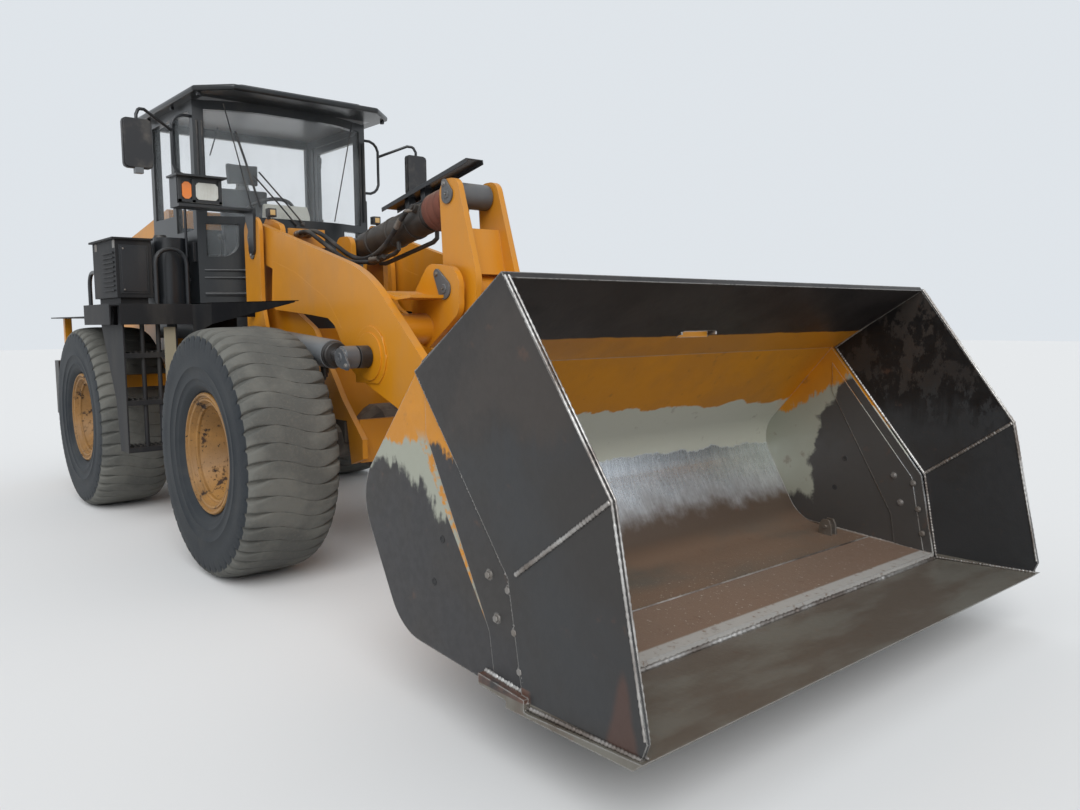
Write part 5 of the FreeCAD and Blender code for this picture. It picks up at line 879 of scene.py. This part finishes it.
# Headlamps: lens, indicator, bezel and the small lamp on the tower
for word, sign in SIDES:
    lamp = Piece("lamp_lens_" + word, "front_half", "trim")
    for low, high, look in ((0.862, 1.022, lens), (1.052, 1.118, orange)):
        corner = 0.02
        outline = ((low + corner, 2.485), (high - corner, 2.485), (high, 2.485 + corner),
                   (high, 2.605 - corner),
                   (high - corner, 2.605), (low + corner, 2.605), (low, 2.605 - corner),
                   (low, 2.485 + corner))
        lamp.prism("YZ", [(place * sign, height) for place, height in outline], -0.413, -0.403, look)
    for low, high in ((0.835, 0.858), (1.024, 1.049), (1.122, 1.146)):
        lamp.prism("YZ", [(low * sign, 2.462), (high * sign, 2.462), (high * sign, 2.628),
                          (low * sign, 2.628)],
                   -0.42, -0.402, black)
    lamp.prism("YZ", [(0.835 * sign, 2.462), (1.146 * sign, 2.462), (1.146 * sign, 2.482),
                      (0.835 * sign, 2.482)],
               -0.42, -0.402, black)
    for step in range(7):
        place = 0.875 + 0.0225 * step
        lamp.prism("YZ", [(place * sign, 2.49), ((place + 0.004) * sign, 2.49),
                          ((place + 0.004) * sign, 2.60),
                          (place * sign, 2.60)], -0.4035, -0.4018, lens)
    lamp.done(bevel=0.002)
    spot = Piece("tower_lamp_" + word, "front_half", "trim")
    spot.block((-0.47, 0.45 * sign - 0.032, 2.404), (-0.41, 0.45 * sign + 0.032, 2.468), trim)
    spot.block((-0.412, 0.45 * sign - 0.020, 2.416), (-0.404, 0.45 * sign + 0.020, 2.456), amber)
    spot.block((-0.45, 0.47 * sign - 0.012, 2.385), (-0.43, 0.47 * sign + 0.012, 2.406), trim)
    spot.done(bevel=0.003)

# Sheets: the rolled roof, the guard over the tilt cylinder and the front fenders
roof = Piece("roof_shell", "chassis", "dark")
for inset, low, high in ((0.0, 3.360, 3.405), (0.110, 3.395, 3.440)):
    rear_x, front_x, half, cut = -2.26 + inset, -0.64 - inset, 0.85 - inset, 0.23
    roof.prism("XY", ((rear_x, -half), (front_x - cut, -half), (front_x, cut - half), (front_x, half - cut),
                      (front_x - cut, half), (rear_x, half)), low, high, cab_black)
roof_item = roof.done("cab_roof")
rolled = roof_item.modifiers.new("rolled_edges", "BEVEL")
rolled.width, rolled.segments, rolled.limit_method, rolled.harden_normals = 0.020, 5, "ANGLE", False
guard = Piece("guard_sheet", "tilt_cylinder", "dark")
GUARD = ((0.45, 0.190), (1.49, 0.212))
for low, high, edge in ((-0.062, 0.062, 0.0), (-0.066, -0.060, 0.022), (0.060, 0.066, 0.022)):
    outline = [tilt_spot(along, up) for along, up in (*GUARD, (GUARD[1][0], GUARD[1][1] - 0.008 - edge),
                                                      (GUARD[0][0], GUARD[0][1] - 0.008 - edge))]
    guard.prism("XZ", [(spot.x, spot.z) for spot in outline], low, high, black)
for along in (0.70, 0.90):
    corners = [tilt_spot(along + step, up) for step, up in ((0, 0.104), (0.05, 0.104), (0.05, 0.196),
                                                            (0, 0.194))]
    guard.prism("XZ", [(spot.x, spot.z) for spot in corners], -0.03, 0.03, black)
guard.done("tilt_guard", bevel=0.002)
FENDER_EDGE = ((-0.306, 1.118, 1.53), (0.06, 1.118, 1.60), (0.80, 0.868, 1.732))
# The fender sheets take the near-black look that paints shade into the fenders.
for word, sign in SIDES:
    fender = Piece("fender_sheet_" + word, "front_half", "dark")
    fender.prism("XY", [(x, y * sign) for x, y in ((-0.306, 1.118), (0.06, 1.118), (0.80, 0.868),
                                                   (0.80, 0.838),
                                                   (-0.306, 0.805))], 1.7401, 1.7445, fender_black_painted_shade)
    for (x0, y0, z0), (x1, y1, z1) in zip(FENDER_EDGE, FENDER_EDGE[1:]):
        corners = [(x, (y + out) * sign, z) for out in (0.0, -0.005)
                   for x, y, z in ((x0, y0, 1.7445), (x1, y1, 1.7445), (x1, y1, z1), (x0, y0, z0))]
        fender.add(corners, ((0, 1, 2, 3), (4, 5, 6, 7), (0, 1, 5, 4), (1, 2, 6, 5), (2, 3, 7, 6),
                             (3, 0, 4, 7)),
                   fender_black_painted_shade)
    fender.done()

# Cab: seals, wipers, handles, ribs, mirrors, door and roof trim
cab_trim = Piece("cab_trim", "chassis", "trim")
for word, sign in SIDES:
    wall = 0.763 * sign
    for place in ((-1.135, 0.74), (-1.135, 0.70)):
        cab_trim.tube(((place[0] + 0.02, place[1] * sign, 2.50), (place[0] + 0.02, place[1] * sign, 3.20)),
                      0.009, trim, 6)
    cab_trim.tube(((-1.24, wall + 0.03 * sign, 1.95), (-1.24, wall + 0.055 * sign, 2.0),
                   (-1.24, wall + 0.055 * sign, 2.7),
                   (-1.24, wall + 0.004 * sign, 2.75)), 0.012, black)
    for height, radius in ((1.84, 0.020), (1.97, 0.012), (2.03, 0.012)):
        rib = [(-1.128 + 0.155 * share, (0.72 - 0.32 * share) * sign) for share in (0.0, 0.3, 0.6, 1.0)]
        cab_trim.tube([(x, y, height) for x, y in rib], radius, black, 10)
    for place in (-0.9, -1.5, -2.1):
        cab_trim.block((place, 0.80 * sign - 0.012, 3.335), (place + 0.03, 0.80 * sign + 0.012, 3.361), black)
    cab_trim.tube(((-0.997, 0.565 * sign, 3.33), (-0.975, 0.36 * sign, 2.47)), 0.0055, trim, 6)
cab_trim.tube(((-0.985, -0.484, 3.124), (-0.965, -0.42, 2.905), (-0.958, -0.34, 2.637),
               (-0.958, -0.31, 2.54)), 0.010, trim, 6)
for side, height in ((0.0, 0.0), (0.046, 0.030)):
    cab_trim.tube(((-0.955, 0.013 + side, 2.40 + height), (-0.945, -0.16 + side, 2.58 + height),
                   (-0.952, -0.36 + side, 2.79 + height)), 0.007, trim, 6)
    cab_trim.turn((-0.985, 0.013 + side, 2.40 + height), (1, 0, 0), ((0, 0), (0, 0.020), (0.03, 0.018),
                                                                     (0.038, 0.010),
                                                                    (0.038, 0)), trim, 20)
cab_trim.tube(((-1.30, -0.50, 3.20), (-1.18, -0.62, 2.95)), 0.006, trim, 6)
cab_trim.block((-1.20, -0.764, 2.10), (-1.17, -0.79, 2.25), black)
cab_trim.done(bevel=0.001)
door_trim = Piece("door_trim", "cab_door", "trim")
door_trim.block((-1.36, 0.763, 2.16), (-1.24, 0.790, 2.20), trim)
door_trim.tube(((-1.27, 0.765, 2.24), (-1.27, 0.80, 2.26), (-1.27, 0.80, 2.62), (-1.27, 0.765, 2.64)), 0.011,
               black)
door_trim.block((-1.98, 0.7625, 1.90), (-1.34, 0.767, 2.08), black)
door_trim.done(bevel=0.003)


def rounded(path, reach=0.06):
    """A path whose corners are cut twice, for a bent bar."""
    path = [Vector(spot) for spot in path]
    for cut in (reach, reach * 0.4):
        made = [path[0]]
        for first, middle, last in zip(path, path[1:], path[2:]):
            made += [middle + (end - middle).normalized() * min(cut, (end - middle).length * 0.45)
                     for end in (first, last)]
        path = [*made, path[-1]]
    return path


mirror = Piece("mirror_looks", "chassis", "trim")
for word, sign in SIDES:
    low, high, bottom, top, corner = 1.117, 1.328, 2.762, 3.128, 0.03
    face = [(low + corner, bottom), (high - corner, bottom), (high - 0.008, bottom + 0.010),
            (high, bottom + corner),
            (high, top - corner), (high - 0.008, top - 0.010), (high - corner, top), (low + corner, top),
            (low + 0.008, top - 0.010), (low, top - corner), (low, bottom + corner),
            (low + 0.008, bottom + 0.010)]
    middle, tall = (low + high) / 2, (bottom + top) / 2
    for shrink, front, back, look in ((1.0, -1.037, -1.000, trim), (0.93, -1.000, -0.984, trim),
                                      (0.90, -1.0395, -1.036, silver)):
        mirror.prism("YZ", [((middle + (y - middle) * shrink) * sign, tall + (z - tall) * (0.5 + shrink / 2)) for y, z in face],
                     front, back, look)
    mirror.block((-1.035, middle * sign - 0.03, 2.725), (-0.985, middle * sign + 0.03, 2.768), cylinder_grey)
    mirror.tube(rounded(((-1.17, 0.765 * sign, 3.235), (-1.17, 0.915 * sign, 3.235),
                         (-1.17, 0.915 * sign, 2.77),
                         (-1.17, 0.765 * sign, 2.77))), 0.0125, black, 12)
    mirror.tube(rounded(((-1.17, 0.915 * sign, 3.105), (-1.01, middle * sign, 3.24),
                         (-1.01, middle * sign, 3.11))),
                0.0125, black, 12)
mirror.done("mirrors", bevel=0.005)

# Driver's place: wheel, dashboard top, levers
wheel = Piece("steering_wheel_looks", "chassis", "trim")
lean = math.radians(25)
axis = Vector((-math.sin(lean), 0, math.cos(lean)))
centre = Vector((-1.46, 0, 2.52))
ring_centre = centre + axis * 0.070
ring = [(0.016 * math.sin(FULL_TURN * step / 10), 0.2 + 0.016 * math.cos(FULL_TURN * step / 10)) for step in range(10)]
wheel.turn(ring_centre, axis, ring, trim, 48)
wheel.turn(centre, axis, ((0.001, 0), (0.001, 0.030), (0.045, 0.034), (0.07, 0.040), (0.078, 0.034),
                          (0.078, 0)), trim, 24)
for turn in (0.5, 2.6, 4.7):
    flat = axis.orthogonal().normalized()
    spoke = Matrix.Rotation(turn, 3, axis) @ flat
    wheel.tube((ring_centre - axis * 0.012 + spoke * 0.03, ring_centre - axis * 0.004 + spoke * 0.19), 0.011,
               trim)
wheel.done("steering_wheel")
dash = Piece("dash_trim", "chassis", "trim")
dash.prism("XZ", ((-1.285, 2.452), (-1.185, 2.447), (-1.185, 2.52), (-1.235, 2.61), (-1.262, 2.60)), -0.16,
           0.235, dial)
for place in (-0.12, 0.0, 0.12):
    dash.turn((-1.337, place, 2.40), (-1, 0, 0.35), ((0, 0), (0, 0.035), (0.008, 0.035), (0.008, 0)), dial,
              24)
dash.block((-1.95, -0.42, 2.10), (-1.62, -0.30, 2.20), trim)
dash.block((-1.90, -0.40, 1.76), (-1.70, -0.32, 2.10), trim)
for place in (-1.66, -1.74):
    dash.tube(((place, -0.36, 2.20), (place + 0.02, -0.36, 2.33)), 0.008, black)
    dash.turn((place + 0.02, -0.36, 2.33), (0, 0, 1), ((0, 0), (0, 0.016), (0.035, 0.022), (0.05, 0.014),
                                                       (0.055, 0)), trim, 16)
dash.done(bevel=0.003)

# Boxes, tank, ladders and platforms
box_trim = Piece("box_trim", "chassis", "trim")
box_trim.block((-1.2615, -1.325, 1.84), (-1.2565, -1.110, 2.215), black)
box_trim.block((-1.2570, -1.310, 1.855), (-1.2530, -1.125, 2.20), black)
for height in (1.87, 2.185):
    box_trim.bolt((-1.2530, -1.295, height), (1, 0, 0), 0.006, bolt_steel)
for place in (-1.80, -1.30):
    box_trim.block((place - 0.03, -1.352, 2.19), (place + 0.03, -1.3475, 2.25), bolt_steel)
box_trim.turn((-1.60, -0.905, 2.288), (0, 0, 1), ((0, 0), (0, 0.055), (0.02, 0.055), (0.045, 0.045),
                                                  (0.05, 0)), trim, 32)
for place in (-1.42, -1.76):
    box_trim.block((place, -1.0225, 1.765), (place + 0.04, -1.018, 2.285), black)
    box_trim.block((place, -1.022, 2.2875), (place + 0.04, -0.80, 2.2925), black)
for sign in (1, -1):
    for row in range(3):
        height = 0.642 + 0.37 * row
        for step in range(9):
            place = 0.965 + 0.04 * step
            box_trim.block((-1.405, (place if sign > 0 else -place) - 0.006, height - 0.002),
                           (-1.225, (place if sign > 0 else -place) + 0.006, height + 0.010), dusty_black)
    for step in range(14):
        place = -1.90 + 0.05 * step
        for line in range(5):
            side = 0.86 + 0.12 * line
            if sign > 0 or side > 1.36:
                box_trim.block((place, sign * side - 0.03, 1.7598), (place + 0.008, sign * side + 0.03,
                                                                     1.7632), dusty_black)
    box_trim.block((-1.212, sign * 0.99 - 0.045, 0.95), (-1.2085, sign * 0.99 + 0.045, 1.58), tan)
box_trim.done(bevel=0.001)

# Rear: hood louvres, handles, grille mesh, lamps and exhaust cap
for word, sign in SIDES:
    lid = Piece("lid_trim_" + word, "hood_door_" + word, "dark")
    for group in (-3.70, -3.25, -2.80):
        for row in range(8):
            height = 1.80 + 0.042 * row
            lid.prism("YZ", [(0.6315 * sign, height), (0.641 * sign, height + 0.004),
                             (0.6315 * sign, height + 0.024)],
                      group - 0.13, group + 0.13, yellow)
    lid.block((-3.24, 0.6320 * sign - 0.004, 1.73), (-3.12, 0.6320 * sign + 0.010, 1.765), trim)
    lid.done(bevel=0.0008)
    for place in (-3.55, -2.80):
        hinge = Piece("lid_hinge_%s_%d" % (word, -place * 100), "hood_door_" + word, "dark")
        hinge.turn((place, 0.637 * sign, 2.216), (1, 0, 0), ((0, 0), (0, 0.009), (0.12, 0.009), (0.12, 0)),
                   black, 16)
        hinge.done()
rear = Piece("rear_trim", "chassis", "dark")
for step in range(39):
    place = -0.55 + 0.029 * step
    rear.block((-4.222, place, 1.31), (-4.218, place + 0.004, 2.10), black)
for word, sign in SIDES:
    rear.prism("YZ", [(place * sign, height) for place, height in ((0.75, 1.255), (0.84, 1.255),
                                                                   (0.84, 1.358), (0.75, 1.358))],
               -4.326, -4.318, red)
    rear.prism("YZ", [(place * sign, height) for place, height in ((0.85, 1.255), (0.93, 1.255),
                                                                   (0.93, 1.358), (0.85, 1.358))],
               -4.326, -4.318, orange)
rear.block((-4.12, -0.57, 1.262), (-4.05, 0.57, 2.12), box_black)
rear.turn((-4.305, 0, 1.24), (0, 0, 1), ((0, 0.0255), (0, 0.045), (0.006, 0.043), (0.006, 0.0255)),
          plate_grey, 32)
rear.done(bevel=0.001)
exhaust = Piece("exhaust_trim", "chassis", "dark")
exhaust.turn((-2.70, 0.26, 2.60), (0, 0, 1), ((0.02, 0.0605), (0.02, 0.072), (0.33, 0.072), (0.35, 0.064),
                                              (0.35, 0.0605)), dusty_black, 40)
for row in range(8):
    exhaust.turn((-2.70, 0.26, 2.65 + 0.035 * row), (0, 0, 1), ((0, 0.071), (0, 0.0745), (0.006, 0.0745),
                                                                (0.006, 0.071)), black, 40)
exhaust.done()


# Seat: cushions swollen by a short cloth simulation, then finished
def cushion(name, outline, half, cap):
    """A padded piece: an extruded outline, remeshed, blown up a little and smoothed."""
    piece = Piece(name, "chassis", "seat_cloth")
    piece.prism("XZ", outline, -half, half, cloth)
    item = piece.done(angle=180)
    item.data.shade_smooth()
    remesh = item.modifiers.new("remesh", "REMESH")
    remesh.mode, remesh.voxel_size = "VOXEL", 0.012
    apply_modifiers(item)
    for _ in range(2):
        relax(item, 0.5)
    rest = [vertex.co.copy() for vertex in item.data.vertices]
    simulation = item.modifiers.new("cloth", "CLOTH")
    simulation.settings.use_pressure = True
    simulation.settings.uniform_pressure_force = 4
    simulation.settings.effector_weights.gravity = 0
    simulation.settings.quality = 4
    for number in range(1, 21):
        bpy.context.scene.frame_set(number)
    apply_modifiers(item)
    bpy.context.scene.frame_set(1)
    for vertex, start in zip(item.data.vertices, rest):
        move = vertex.co - start
        vertex.co = start + move * min(1, cap / max(move.length, 1e-9))
    relax(item, 0.5)
    item.modifiers.new("smooth", "SUBSURF").levels = 1
    item.data.shade_smooth()
    return item


def apply_modifiers(item):
    """Replaces the mesh by what its modifiers make."""
    graph = bpy.context.evaluated_depsgraph_get()
    made = bpy.data.meshes.new_from_object(item.evaluated_get(graph))
    item.modifiers.clear()
    old, item.data = item.data, made
    bpy.data.meshes.remove(old)


def relax(item, share):
    """Moves each corner towards the middle of its neighbours."""
    form = bmesh.new()
    form.from_mesh(item.data)
    bmesh.ops.smooth_vert(form, verts=form.verts, factor=share, use_axis_x=True, use_axis_y=True,
                          use_axis_z=True)
    form.to_mesh(item.data)
    form.free()


cushion("seat_cushion", ((-2.03, 2.045), (-1.575, 2.045), (-1.570, 2.135), (-1.62, 2.140), (-1.93, 2.125),
                         (-2.03, 2.125)),
        0.230, 0.010)
backrest = cushion("seat_backrest", ((-2.045, 2.15), (-1.95, 2.15), (-1.985, 2.45), (-2.015, 2.84),
                                     (-2.095, 2.84),
                                     (-2.075, 2.45)), 0.226, 0.010)
cushion("seat_headrest", ((-2.085, 2.875), (-2.036, 2.875), (-2.034, 3.065), (-2.095, 3.065)), 0.152, 0.008)
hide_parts("seat")
seat_trim = Piece("seat_piping", "chassis", "seat_cloth")
for place in (-0.12, 0.12):
    seat_trim.tube(((-1.962, place, 2.24), (-1.985, place, 2.45), (-2.008, place, 2.76)), 0.006, cloth, 6)
    seat_trim.tube(((-1.64, place, 2.146), (-1.88, place, 2.138)), 0.006, cloth, 6)
for place in (-0.05, 0.05):
    seat_trim.tube(((-2.062, place, 2.82), (-2.062, place, 2.89)), 0.008, bolt_steel, 8)
seat_trim.done()

# Floor, light and backdrop
floor_mesh = bpy.data.meshes.new("floor")
floor_mesh.from_pydata([(-60, -60, 0), (60, -60, 0), (60, 60, 0), (-60, 60, 0)], [], [(0, 1, 2, 3)])
floor = bpy.data.objects.new("floor", floor_mesh)
bpy.context.scene.collection.objects.link(floor)
floor_look = Look("floor")
floor_look.set(base_color=(0.73, 0.735, 0.74), roughness=0.9, specular_ior_level=0.1)
floor_mesh.materials.append(floor_look.material)

world = bpy.data.worlds.new("world")
bpy.context.scene.world = world
world.use_nodes = True
nodes, links = world.node_tree.nodes, world.node_tree.links
sky, seen = nodes["Background"], nodes.new("ShaderNodeBackground")
sky.inputs[0].default_value, sky.inputs[1].default_value = (0.95, 0.98, 1.0, 1), 0.74
seen.inputs[0].default_value, seen.inputs[1].default_value = (0.74, 0.78, 0.82, 1), 1.0
path, either, again = nodes.new("ShaderNodeLightPath"), nodes.new("ShaderNodeMath"), nodes.new("ShaderNodeMath")
either.operation = again.operation = "MAXIMUM"
mixer = nodes.new("ShaderNodeMixShader")
links.new(path.outputs["Is Camera Ray"], either.inputs[0])
links.new(path.outputs["Is Glossy Ray"], either.inputs[1])
links.new(either.outputs[0], again.inputs[0])
links.new(path.outputs["Is Transmission Ray"], again.inputs[1])
links.new(again.outputs[0], mixer.inputs[0])
links.new(sky.outputs[0], mixer.inputs[1])
links.new(seen.outputs[0], mixer.inputs[2])
links.new(mixer.outputs[0], nodes["World Output"].inputs["Surface"])


sun = bpy.data.lights.new("sun", "SUN")
sun.energy, sun.angle = 1.9, math.radians(45)
sun_item = bpy.data.objects.new("sun", sun)
sun_item.rotation_euler = Vector((0.62, -0.50, 0.66)).to_track_quat("Z", "Y").to_euler()
bpy.context.scene.collection.objects.link(sun_item)
